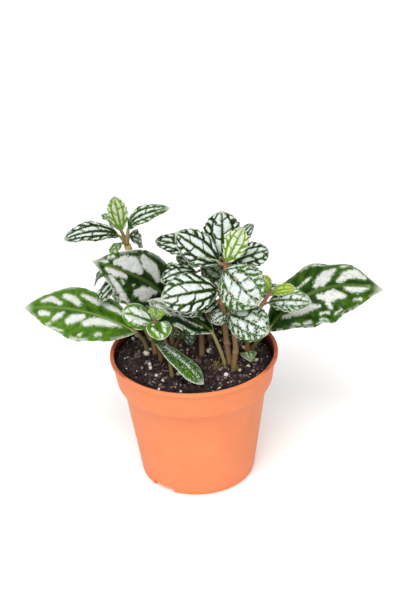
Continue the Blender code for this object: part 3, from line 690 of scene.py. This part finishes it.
def add_blade(skin, leaf, seed):
    form, length = FORMS[leaf.kind], dist(leaf.base, leaf.tip)
    rows = int(np.clip(length / GRID, 18, 150))
    columns = int(np.clip(leaf.width / 2 / GRID, 7, 36))
    middle, w = np.meshgrid(np.arange(rows) / rows, np.linspace(-1, 1, 2 * columns + 1), indexing="ij")
    middle, w = middle.ravel(), w.ravel()
    u = middle + SWEEP * abs(w) * 4 * middle * (1 - middle)
    saw = (middle * form.teeth + np.where(w < 0, 0.3, 0)) % 1
    cut = form.tooth * (1 - saw) * ease(abs(w), 0.7, 1) * ease(u, 0.04, 0.2)
    relief, painted = silver_and_relief(leaf, u, w, seed)
    painted["ring"] = np.maximum(patch_depth(leaf, u, w, leaf.patches if leaf.kind == "lace" else ()), 0)
    painted = {name: np.append(values, AT_TIP.get(name, 0)) for name, values in painted.items()}
    u, edge, across = painted["along"], painted["edge"], painted["across"]
    w, cut, relief = (np.append(values, 0) for values in (w, cut, relief))
    points = blade_points(leaf, u, w * (1 - cut), relief)
    grid = points[:-1].reshape(rows, -1, 3)
    slope = np.gradient(grid, axis=0), np.gradient(grid, axis=1)
    normal = unit(np.cross(slope[0], slope[1])).reshape(-1, 3)
    normal = np.concatenate([normal, normal[-columns - 1][None]])
    thick = EDGE_HALF + (BLADE_HALF - EDGE_HALF) * ease(edge, 0, 1.5)
    keel = 0.55 * np.exp(-(across / 0.55) ** 2) * (1 - u) * min(1, length / 40)
    upper = points + normal * thick[:, None]
    lower = points - normal * (thick + keel)[:, None]
    faces, slots = blade_grid(rows, columns)
    flat = np.stack([w * half_width(leaf, u) + 90 * seed, u * length, 13.0 * seed + np.zeros(len(u))], 1)
    skin.add(np.concatenate([upper, lower]), faces, slots, np.tile(flat, (2, 1)), age=leaf.age,
             rag=form.rag, **{name: np.tile(values, 2) for name, values in painted.items()})


def smooth_route(points, step):
    """Points about a step apart on a smooth curve through the given ones."""
    points = [np.array(point, float) for point in points]
    knots = [2 * points[0] - points[1], *points, 2 * points[-1] - points[-2]]
    route = []
    for a, b, c, d in zip(knots, knots[1:], knots[2:], knots[3:]):
        pieces = max(1, round(float(np.linalg.norm(c - b)) / step))
        for k in range(pieces):
            t = k / pieces
            route.append((2 * b + (c - a) * t + (2 * a - 5 * b + 4 * c - d) * t * t
                          + (3 * b - a - 3 * c + d) * t * t * t) / 2)
    return np.array([*route, points[-1]])


def ring_faces(rings, sides):
    """Faces of a closed tube whose points come ring by ring, and then the middles of its two ends."""
    around = [(j, (j + 1) % sides) for j in range(sides)]
    first = rings * sides
    top = first - sides
    faces = [(i + a, i + b, i + b + sides, i + a + sides) for i in range(0, top, sides) for a, b in around]
    for a, b in around:
        faces += [(first, b, a), (first + 1, top + a, top + b)]
    return faces


def add_tube(skin, route, radii, sides, seed, **values):
    """A closed round stalk along a route; values may hold one number for each of its points."""
    forward = unit(np.gradient(route, axis=0))
    across = np.cross(forward[0], (0.3, 0.9, 0.1))
    turns = np.arange(sides) / sides * 2 * pi
    rings = []
    for place, ahead, radius in zip(route, forward, radii):
        across = unit(across - ahead * (across @ ahead))
        groove = radius * (1 + 0.03 * np.cos(4 * turns + seed))
        rings.append(place + np.outer(groove * np.cos(turns), across)
                     + np.outer(groove * np.sin(turns), np.cross(ahead, across)))
    points = np.concatenate([*rings, [route[0], route[-1]]])

    def spread(value):
        value = np.broadcast_to(value, len(route))
        return np.append(np.repeat(value, sides), (value[0], value[-1]))

    run = np.append(0, np.cumsum(np.linalg.norm(np.diff(route, axis=0), axis=1)))
    flat = np.stack([np.append(np.tile(turns * 2, len(route)), (0, 0)), spread(run),
                     np.full(len(points), 7.0 * seed)], 1)
    values["high"] = route[:, 2]
    skin.add(points, ring_faces(len(route), sides), 2, flat,
             **{name: spread(value) for name, value in values.items()})


def stem_route(points, step):
    x, y = points[0]
    above = smooth_route([(x, y, STEM_STRAIGHT), *points[1:]], step)
    return np.concatenate([[(x, y, STEM_FOOT), (x, y, 84), (x, y, 88)], above])


def point_at_height(route, height):
    """The stem's axis at a height, or its end for 0."""
    return np.array([np.interp(height, route[:, 2], values) for values in route.T]) if height else route[-1]


def add_stem(skin, stem, route, seed):
    """The stem with the swellings and scars where leaves stand or stood."""
    height = route[:, 2]
    share = np.linspace(0, 1, len(route))
    radii = stem.thick + (stem.thin - stem.thick) * share
    ring = np.zeros(len(route))
    for level in (*stem.rings, *(leaf.node for leaf in stem.leaves if leaf.node)):
        near = np.exp(-((height - level) / 1.3) ** 2)
        radii = radii * (1 + 0.16 * near)
        ring = np.maximum(ring, np.exp(-((height - level - 0.4) / 0.55) ** 2))
    radii[-1] *= 0.5
    add_tube(skin, route, radii, STEM_SIDES, seed, red=stem.red(height), ring=ring)


def add_petiole(skin, leaf, start, red, seed):
    """From the stem out to the blade and on under its midrib."""
    under, _, _, normal = blade_frame(leaf, np.array((0.08, 0.25)))
    under = under - normal * np.array((0.8, 0.45))[:, None]
    route = smooth_route([start, leaf.base, *under], 1.6)
    share = np.linspace(0, 1, len(route))
    radii = (leaf.petiole + 0.25) * (1 - share) + 0.28 * share
    radii[-1] = 0.05
    add_tube(skin, route, radii, PETIOLE_SIDES, seed, red=red * (1 - 0.75 * share), age=leaf.age)


def build_leafy_stem(name, stem, seed, finishes):
    skin = Skin(*PAINTED)
    route = stem_route(stem.route, 1.5)
    add_stem(skin, stem, route, seed)
    for number, leaf in enumerate(stem.leaves, 1):
        start = point_at_height(route, leaf.node)
        add_petiole(skin, leaf, start, stem.red(start[2]), seed + number)
        add_blade(skin, leaf, seed + number)
    settle(skin.piece(f"{name}_fine", finishes), name)


def build_large_leaf(name, stem, seed, finishes):
    skin = Skin(*PAINTED)
    leaf = stem.leaves[0]
    ends, _, _, normal = blade_frame(leaf, np.array((0.0, 0.06, 0.12, 0.2, 0.3, 0.42, 0.6)))
    ends = ends - normal * np.array((0.7, 1.5, 1.7, 1.6, 1.4, 1.0, 0.6))[:, None]
    route = stem_route((*stem.route, *ends), 1.6)
    share = np.linspace(0, 1, len(route))
    radii = np.interp(share, (0, 0.45, 0.6, 1), (stem.thick, stem.thin, stem.thin * 0.75, 0.25))
    add_tube(skin, route, radii, STEM_SIDES, seed, red=0.32 * (1 - 0.6 * share), age=leaf.age)
    add_blade(skin, leaf, seed)
    settle(skin.piece(f"{name}_fine", finishes), name)


def settle(piece, node):
    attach(piece, "root")
    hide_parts(node)


def outer_radius(height):
    collar_foot_radius = RIM_RADIUS - LIP_PROUD - TAPER * (POT_HEIGHT - LIP_HEIGHT - COLLAR_FOOT)
    if height >= COLLAR_FOOT:
        return collar_foot_radius + TAPER * (height - COLLAR_FOOT)
    if height <= SHOULDER_FOOT:
        return BODY_RADIUS - BODY_TAPER * (SHOULDER_FOOT - height)
    turn = (COLLAR_FOOT - height) / (COLLAR_FOOT - SHOULDER_FOOT) * pi / 2
    return BODY_RADIUS + (collar_foot_radius - BODY_RADIUS) * cos(turn)


def lathe(profile, sides):
    """Points and faces of a closed round body from (radius, height) points that run down its outside."""
    turns = np.arange(sides) / sides * 2 * pi
    rings = [np.stack([radius * np.cos(turns), radius * np.sin(turns), np.full(sides, height)], 1)
             for radius, height in profile[1:-1]]
    points = np.concatenate([*rings, [(0, 0, profile[0][1]), (0, 0, profile[-1][1])]])
    return points, [face[:1] + face[:0:-1] for face in ring_faces(len(rings), sides)]


def pot_profile():
    wall = [POT_HEIGHT - LIP_HEIGHT - 0.4, 92, 88, 84, 82.4, 81, 80.2,
            *np.linspace(COLLAR_FOOT, SHOULDER_FOOT, 13), *range(56, 13, -6), 9, 6, FOOT_ROUND]
    seam = [SEAM_DEPTH * exp(-((height - SEAM_HEIGHT) / 0.3) ** 2) for height in wall]
    outside = [(outer_radius(height) - groove, height) for height, groove in zip(wall, seam)]
    middle = outer_radius(FOOT_ROUND) - FOOT_ROUND
    foot = [(middle + FOOT_ROUND * cos(turn), FOOT_ROUND * (1 - sin(turn)))
            for turn in np.linspace(0, pi / 2, 9)[1:]]
    inside = [(outer_radius(height) - WALL, height) for height in wall if height > FLOOR]
    lip = [(RIM_RADIUS - inward, POT_HEIGHT - down) for inward, down in (
        (3.0, 1.6), (2.75, 0.6), (2.2, 0.1), (1.4, 0), (0.6, 0.15), (0.15, 0.6), (0, 1.3),
        (0.05, LIP_HEIGHT - 0.3), (0.5, LIP_HEIGHT))]
    floor = [(0, FLOOR), (30, FLOOR), (outer_radius(FLOOR) - WALL, FLOOR)]
    return [*floor, *reversed(inside), *lip, *outside, *foot, (POCKET_INNER - 4, 0), (0, 0)]


def build_pot(finish):
    skin = Skin("high", "inner")
    points, faces = lathe(pot_profile(), POT_SIDES)
    radius, height = np.hypot(points[:, 0], points[:, 1]), points[:, 2]
    outside = np.array([outer_radius(level) for level in height]) - WALL / 2
    inner = (radius < outside) & (height > FLOOR - 1) & (height < POT_HEIGHT - 1)

    # Painted shade: the top of the lip is part as dark as the inside, but not at the front.
    lip = 0.62 * (height > POT_HEIGHT - 1) * ease(points[:, 1], -52, -30)
    skin.add(points, faces, high=height, inner=np.maximum(inner, lip))
    pot = skin.piece("pot_fine", [finish])
    cutters = bpy.data.collections.new("pot_cutters")
    scene.collection.children.link(cutters)
    for angle in POCKET_ANGLES:
        turn = Matrix.Rotation(radians(angle), 4, "Z")
        place = Vector(((POCKET_INNER + RIM_RADIUS) / 2, 0, POCKET_HEIGHT / 2 - 0.5)) * MM
        size = Vector((RIM_RADIUS - POCKET_INNER, POCKET_WIDTH, POCKET_HEIGHT + 1)) * MM
        work = bmesh.new()
        bmesh.ops.create_cube(work, size=1, matrix=turn @ Matrix.LocRotScale(place, None, size))
        corners = [e for e in work.edges if all(v.co.z > 0 for v in e.verts) or
                   abs(e.verts[0].co.z - e.verts[1].co.z) > 0.002]
        bmesh.ops.bevel(work, geom=corners, offset=0.7 * MM, segments=3, affect="EDGES")
        add_cutter("pocket", work, cutters)
        work = bmesh.new()
        drain = Matrix.Translation(turn @ (Vector((DRAIN_AT, 0, 4)) * MM))
        bmesh.ops.create_cone(work, cap_ends=True, segments=32, radius1=DRAIN_RADIUS * MM,
                              radius2=DRAIN_RADIUS * MM, depth=6 * MM, matrix=drain)
        add_cutter("drain", work, cutters)
    cut = pot.modifiers.new("pockets", "BOOLEAN")
    cut.operation, cut.solver = "DIFFERENCE", "EXACT"
    cut.operand_type, cut.collection = "COLLECTION", cutters
    mesh = bpy.data.meshes.new_from_object(pot.evaluated_get(bpy.context.evaluated_depsgraph_get()))
    pot.modifiers.clear()
    pot.data = mesh
    for cutter in list(cutters.objects):
        bpy.data.objects.remove(cutter)
    bpy.data.collections.remove(cutters)
    mesh.set_sharp_from_angle(angle=radians(40))
    settle(pot, "pot")


def add_cutter(name, work, collection):
    mesh = bpy.data.meshes.new(name)
    work.to_mesh(mesh)
    work.free()
    collection.objects.link(bpy.data.objects.new(name, mesh))


def soil_height(x, y):
    """The soil's surface in the part's source, with clods and grain."""
    waves = 1.1 * sin(x / 7 + 1) * cos(y / 6) + 0.7 * sin(x / 3.3 - y / 4.3)
    radius = hypot(x, y)
    mound = 3.2 * exp(-((x + 45) ** 2 + (y - 12) ** 2) / 320)
    level = SOIL_TOP + waves + mound - 2.0 * ease(radius, 53, 56) + 4.5 * (radius / RIM_RADIUS) ** 4
    return level + sum(noise.noise((x / size, y / size, layer)) * height
                       for size, layer, height in ((4.5, 3, 2.2), (1.8, 9, 1.5), (0.8, 5, 0.7)))


def rim_shade(x, y):
    """How dark the soil is by the wall, and where the front rim hides the light."""
    front = ease(np.hypot(x, y - 16), 56, 58.5) * ease(-y, -14, -8)
    return np.maximum(ease(np.hypot(x, y), 49, 54), front)


def build_soil(finish):
    skin = Skin("tone")
    edge = outer_radius(SOIL_TOP) - WALL - CLEAR
    radii = np.linspace(0, 1, SOIL_RINGS + 1)[1:] ** 0.75 * edge
    heights = (82, 76, 70, 62, 40, 20, FLOOR + CLEAR)
    side = [(outer_radius(height) - WALL - CLEAR, height) for height in heights]
    top = [(0, SOIL_TOP), *((radius, SOIL_TOP) for radius in radii)]
    points, faces = lathe([*top, *side, (0, FLOOR + CLEAR)], SOIL_SIDES)
    for point in points:
        if point[2] > SOIL_TOP - 1:
            point[2] = soil_height(*point[:2])
    skin.add(points, faces, tone=-0.9 * rim_shade(*points[:, :2].T))
    settle(skin.piece("soil_fine", [finish]), "soil")


def pebble(detail):
    """A ball of triangles whose points a crumb or a bit of perlite pushes about."""
    work = bmesh.new()
    bmesh.ops.create_icosphere(work, subdivisions=detail, radius=1)
    points = np.array([vertex.co for vertex in work.verts])
    faces = [tuple(vertex.index for vertex in face.verts) for face in work.faces]
    work.free()
    return points, faces


def add_pebble(skin, ball, place, size, draw, rough, tone):
    points, faces = ball
    push = np.array([draw.uniform(1 - rough, 1 + rough) for _ in points])
    angle, axis = draw.uniform(0, 6.3), Vector([draw.uniform(-1, 1) for _ in range(3)])
    shaped = (points * push[:, None] * np.array(size) / 2) @ np.array(Matrix.Rotation(angle, 3, axis)).T
    skin.add(shaped + place, faces, tone=tone)


def clear_of_stems(x, y, gap):
    return all(hypot(x - stem.route[0][0], y - stem.route[0][1]) > stem.thick + gap
               for stem in (*STEMS.values(), *LARGE_LEAVES.values()))


def somewhere(draw, reach, start, end):
    """A random place on the soil, between two angles and no further out than the reach."""
    radius, turn = reach * sqrt(draw.random()), draw.uniform(start, end)
    return radius * cos(turn), radius * sin(turn)


def build_crumbs(finish):
    """Crumbs of peat and bits of bark that lie on the soil."""
    draw = random.Random(CRUMB_SEED)
    skin, ball = Skin("tone"), pebble(1)
    while skin.size < CRUMBS * len(ball[0]):
        x, y = somewhere(draw, 54.5, 0, 6.3)
        size = draw.choice((1.0, 1.4, 1.8, 2.2, 2.6, 3.2, 4.2))
        if not clear_of_stems(x, y, size / 2):
            continue
        shape = [size * draw.uniform(low, 2 * low) for low in (0.6, 0.6, 0.4)]
        if draw.random() < 0.12:
            shape = [size * 0.4, size * 2.0, size * 0.3]
        place = np.array((x, y, soil_height(x, y) + 0.1 * size))
        tone = draw.random() ** 2 - 0.9 * rim_shade(x, y)
        add_pebble(skin, ball, place, shape, draw, 0.28, tone)
    piece = skin.piece("soil_crumbs", [finish])
    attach(piece, "root")


def build_perlite(finish):
    """Perlite and, at the foot of the right-hand stems, moss."""
    draw = random.Random(PERLITE_SEED)
    skin, ball = Skin("tone"), pebble(2)
    spots = list(PERLITE)
    while len(spots) < len(PERLITE) + HIDDEN_PERLITE:
        x, y = somewhere(draw, 53, 0.1, pi - 0.1)
        if clear_of_stems(x, y, 1.5) and y > 8:
            spots.append((x, y, draw.uniform(1.2, 2.8)))
    before = len(spots)
    spots += [(x + draw.gauss(0, 1.6), y + draw.gauss(0, 2.4), draw.uniform(0.7, 1.9))
              for x, y in MOSS for _ in range(MOSS_BITS)]
    moss = range(before, len(spots))
    for _ in range(TINY_PERLITE):
        spots.append((*somewhere(draw, 54, 0, 6.28), draw.uniform(0.35, 0.85)))
    for number, (x, y, size) in enumerate(spots):
        inward = min(1.0, (SOIL_REACH - size / 2) / hypot(x, y))
        x, y = x * inward, y * inward
        shape = [1.25 * size * draw.uniform(0.85, 1.15) for _ in range(3)]
        place = np.array((x, y, soil_height(x, y) + 0.4 * size))
        if number in moss:
            place[2] += draw.uniform(0, 2.2)
            add_pebble(skin, ball, place, shape, draw, 0.3, 2)
        else:
            add_pebble(skin, ball, place, shape, draw, 0.07, draw.random())
    piece = skin.piece("perlite", [finish])
    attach(piece, "root")


def leaf_top(name, halo, line, pure):
    """Green that darkens as a leaf grows old, under silver with a ragged edge; pure is the old leaves'
    silver, which values above 1 paint dark as shade.
    """
    s = Shader(name, 0.5, 0.1)
    age, across, along, edge = s.values("age", "across", "along", "edge")
    silver, rag, border, vein, pink = s.values("silver", "rag", "border", "vein", "ring")
    broad, blotch, fine, grain = s.noise(0.2), s.noise(0.5, 3), s.noise(1.3, 3), s.noise(3.4)
    tone = s.add(age, s.swing(broad, 0.7), s.swing(fine, 0.35), s.step(vein, 1.2, -0.2, 0, 0.07),
                 s.step(across, 9, 1, -0.04, 0.12), s.step(along, 0.5, 1, 0.04, -0.12))
    green = s.ramp(tone, (0, (148, 162, 24)), (1, (17, 36, 8)), (0.15, (100, 140, 24)),
                   (0.35, (86, 132, 22)), (0.6, (61, 98, 14)), (0.8, (33, 66, 10)))

    # Millimetres inside the silver, with a ragged edge, and how much of it covers the green.
    stray = s.add(s.swing(blotch, 0.9), s.swing(fine, 1.5), s.swing(grain, 0.6))
    border = s.add(border, s.swing(blotch, 3.6), s.swing(fine, 1.2))
    depth = s.math("MINIMUM", s.math("MULTIPLY_ADD", stray, rag, silver), border)
    worn = s.step(s.add(grain, s.swing(fine, 0.6)), 0.66, 0.52, 0.55, 1)
    cover = s.times(s.step(depth, -0.1, 0.3), worn)
    bright = s.ramp(age, (0, (190, 200, 58)), (0.1, (232, 240, 206)), (0.3, (232, 238, 216)), (0.5, pure))
    # Painted shade: above 1, the silver turns dull and dark, as for leaves in the shade inside the plant.
    bright = s.blend(s.step(age, 1.05, 1.4, 0, 0.85), bright, (66, 84, 60))
    clouds = s.step(s.add(blotch, s.swing(fine, 1.4), s.swing(broad, 0.5)), 0.46, 0.72, 0, 0.5)
    bright = s.blend(clouds, bright, (168, 180, 170))

    # Coats: a paler green round the silver, the silver, the midrib, a painted sheen near the edge, a pale
    # rim that is partly painted highlight, the tip and pink spots.
    s.shown = s.blend(s.step(depth, -halo, 0.2, 0, 0.35), green, (150, 180, 108))
    s.coat(cover, bright)
    s.coat(s.step(across, 1.9, 1, 0, line), s.blend(0.55, green, (104, 140, 44)))
    pale = s.times(s.step(across, 0.55, 0.2), s.step(along, 1, 0.2, 0.2, 0.7))
    s.coat(s.times(pale, s.step(age, 0.64, 0.52, 0.2, 1)), s.blend(line, green, (196, 220, 140)))
    # Painted sheen: a soft pale haze near the edge, in patches, as a reflection of the light.
    painted_sheen = s.times(s.step(s.add(edge, s.swing(fine, 3)), 3.6, 0.3), s.step(broad, 0.42, 0.56))
    s.coat(s.times(painted_sheen, line), (206, 214, 196))
    # A thin pale line along the edge, in patches: partly the leaf's own pale margin, partly a painted
    # highlight where the crinkled edge catches the light.
    rim = s.times(s.step(s.add(edge, s.swing(fine, 0.6)), 0.6, 0.2), s.step(broad, 0.42, 0.52))
    s.coat(rim, (226, 234, 214))
    s.coat(s.step(along, 0.91, 1), (192, 198, 178))
    s.coat(s.step(pink, 0.1, 1, 0, 0.6), (168, 104, 92))
    s.bump(s.add(s.times(grain, 0.5), fine, cover), 0.3, 0.25)
    return s.done(s.step(cover, 0, 1, 0.42, 0.5))


def leaf_under():
    """The pale lower side, with its ribs lighter still."""
    s = Shader("leaf_underside", 0.6, 0.25)
    age, silver, across = s.values("age", "silver", "across")
    broad, fine = s.noise(0.25), s.noise(1.6, 3)
    tone = s.add(age, s.swing(broad, 0.3), s.swing(fine, 0.25))
    s.shown = s.ramp(tone, (0, (186, 208, 104)), (1, (128, 156, 112)), (0.5, (150, 182, 110)))
    s.coat(s.step(silver, 0, 1, 0, 0.35), (190, 204, 176))
    s.coat(s.step(across, 1.1, 0.4), (176, 190, 132))
    s.bump(fine, 0.4, 0.3)
    return s.done()


def stem_skin():
    """Olive stems that turn red-brown and then pale, with scars, streaks and darker feet."""
    s = Shader("stem_skin", 0.5, 0.4)
    age, red, ring, high = s.values("age", "red", "ring", "high")
    streaks, fine = s.noise(2.2, 3, stretch=(1, 0.16, 1)), s.noise(1.5, 3)
    s.shown = s.blend(streaks, (84, 70, 43), (156, 138, 94))
    redness = s.add(red, s.swing(fine, 0.3))
    for share, dark, light in (
            (s.step(age, 0, 0.9), (116, 126, 60), (184, 186, 120)),
            (s.step(redness, 0.05, 0.6), (100, 62, 44), (200, 146, 110)),
            (s.step(redness, 0.65, 1.05), (176, 88, 50), (232, 172, 116)),
            (s.step(redness, 1.15, 1.5, 0, 0.85), (206, 162, 112), (226, 206, 160))):
        s.coat(share, s.blend(streaks, dark, light))
    s.coat(s.times(ring, 0.75), (214, 150, 112))
    s.coat(s.step(high, 92, 86.5, 0, 0.6), (52, 36, 22))
    s.bump(s.add(streaks, s.times(ring, 0.8)), 0.5, 0.3)
    return s.done()


def soil_skin():
    s = Shader("potting_soil_grain", 0.7, 0.5)
    broad, fine, grain = s.noise(0.3), s.noise(1.3, 4, 0.7), s.noise(4, 3, 0.7)
    tone = s.add(s.times(*s.values("tone"), 0.5), s.swing(broad, 0.5), s.swing(grain, 3), 0.25)
    s.shown = s.ramp(tone, (0, (13, 3, 4)), (1, (236, 212, 206)), (0.34, (24, 8, 8)),
                     (0.6, (78, 46, 44)), (0.8, (150, 124, 120)))
    s.bump(s.add(fine, s.times(grain, 0.6)), 0.9, 0.6)
    return s.done(s.step(grain, 0.35, 0.65, 0.9, 0.45))


def perlite_skin():
    """White to cream by the tone, and moss where the tone is above 1."""
    s = Shader("perlite_grain", 0.85, 0.3)
    tone, fine = *s.values("tone"), s.noise(2, 3)
    s.shown = s.blend(s.step(tone, 0.55, 0.9), (236, 228, 214), (206, 188, 140))
    s.coat(s.step(tone, 1.1, 1.2), s.blend(s.step(fine, 0.4, 0.6), (54, 44, 16), (132, 122, 62)))
    s.coat(s.step(fine, 0.56, 0.72, 0, 0.5), (150, 132, 110))
    s.bump(fine, 0.6, 0.4)
    return s.done()


def pot_skin():
    s = Shader("pot_moulded_plastic", 0.55, 0.25)
    high, inner = s.values("high", "inner")
    broad, cloud, grain = s.noise(0.035), s.noise(0.16, 3), s.noise(2.2)
    tone = s.add(s.swing(broad, 0.7), s.swing(cloud, 0.35), 0.5)
    s.shown = s.ramp(tone, (0.15, (228, 128, 82)), (0.85, (240, 144, 96)))
    # Painted shade: a darker line along the seam's groove under the collar.
    from_seam = s.math("ABSOLUTE", s.math("SUBTRACT", high, SEAM_HEIGHT))
    s.coat(s.step(from_seam, 0.5, 0.1, 0, 0.3), (190, 96, 58))
    # Painted light: a deeper orange toward the foot, as where light glows through the thin plastic.
    s.coat(s.step(high, 9, 0, 0, 0.5), (240, 122, 62))
    s.bump(s.add(grain, s.times(cloud, 2)), 0.12, 0.25)
    # Painted shade: the inside and the lip's top darken to red-brown, and nearly black low down inside.
    painted_shade = s.step(s.add(inner, s.swing(cloud, 0.5)), 0.3, 0.9)
    s.coat(painted_shade, s.blend(s.step(high, 95.5, 91), (150, 56, 40), (44, 20, 18)))
    return s.done(s.step(grain, 0.3, 0.7, 0.5, 0.6))


def build_plant():
    under, skin = leaf_under(), stem_skin()
    netted = [leaf_top("net_leaf_top", 0.5, 0.1, (230, 236, 234)), under, skin]
    patchy = [leaf_top("patch_leaf_top", 1.1, 0.55, (226, 225, 224)), under, skin]
    for number, (name, stem) in enumerate(STEMS.items()):
        build_leafy_stem(name, stem, SEED_STEP * number + STEM_SEED, netted)
    for number, (name, stem) in enumerate(LARGE_LEAVES.items()):
        build_large_leaf(name, stem, SEED_STEP * number + LARGE_SEED, patchy)


def build_stage():
    mesh = bpy.data.meshes.new("floor")
    mesh.from_pydata([(-6, -6, 0), (6, -6, 0), (6, 6, 0), (-6, 6, 0)], [], [(0, 1, 2, 3)])
    s = Shader("floor_paint", 0.9, 0.1)
    s.set("Emission Color", (1, 1, 1, 1))
    s.set("Emission Strength", FLOOR_GLOW)
    s.shown = (240, 240, 240)
    mesh.materials.append(s.done())
    floor = link("floor", mesh)


def build_light():
    """A wide sun, and a world that is darker to the left and right than ahead."""
    light = bpy.data.lights.new("key", "SUN")
    light.energy, light.angle = SUN_POWER, SUN_ANGLE
    link("key", light).rotation_euler = Vector(SUN_FROM).to_track_quat("Z", "Y").to_euler()
    world = bpy.data.worlds.new("studio")
    world.use_nodes = True
    n = Nodes(world.node_tree)
    backdrop = n.tree.nodes["Background"]
    backdrop.inputs["Color"].default_value = (1, 1, 1, 1)
    aside = n.math("ABSOLUTE", n.node("SeparateXYZ", {0: n.node("TexCoord", {}, "Generated")}, "X"))
    n.put(backdrop.inputs["Strength"], n.step(aside, 0.3, 0.95, 0.75, 0.2, "LINEAR"))
    scene.world = world
    scene.view_settings.view_transform = "Standard"


def build_camera():
    """The photo's camera, a metre from the point it looks at."""
    lens = bpy.data.cameras.new("camera")
    lens.sensor_fit, lens.sensor_height, lens.lens = "VERTICAL", 36, LENS
    scene.camera = link("camera", lens)
    turn = Matrix.Rotation(radians(90 - CAMERA_UP), 4, "X") @ Matrix.Rotation(radians(CAMERA_ROLL), 4, "Z")
    aim = Matrix.Translation(Vector(CAMERA_AIM) * MM)
    scene.camera.matrix_world = aim @ turn @ Matrix.Translation((0, 0, 1))


build_camera()
build_light()
build_stage()
build_plant()
build_pot(pot_skin())
soil_finish = soil_skin()
build_soil(soil_finish)
build_crumbs(soil_finish)
build_perlite(perlite_skin())
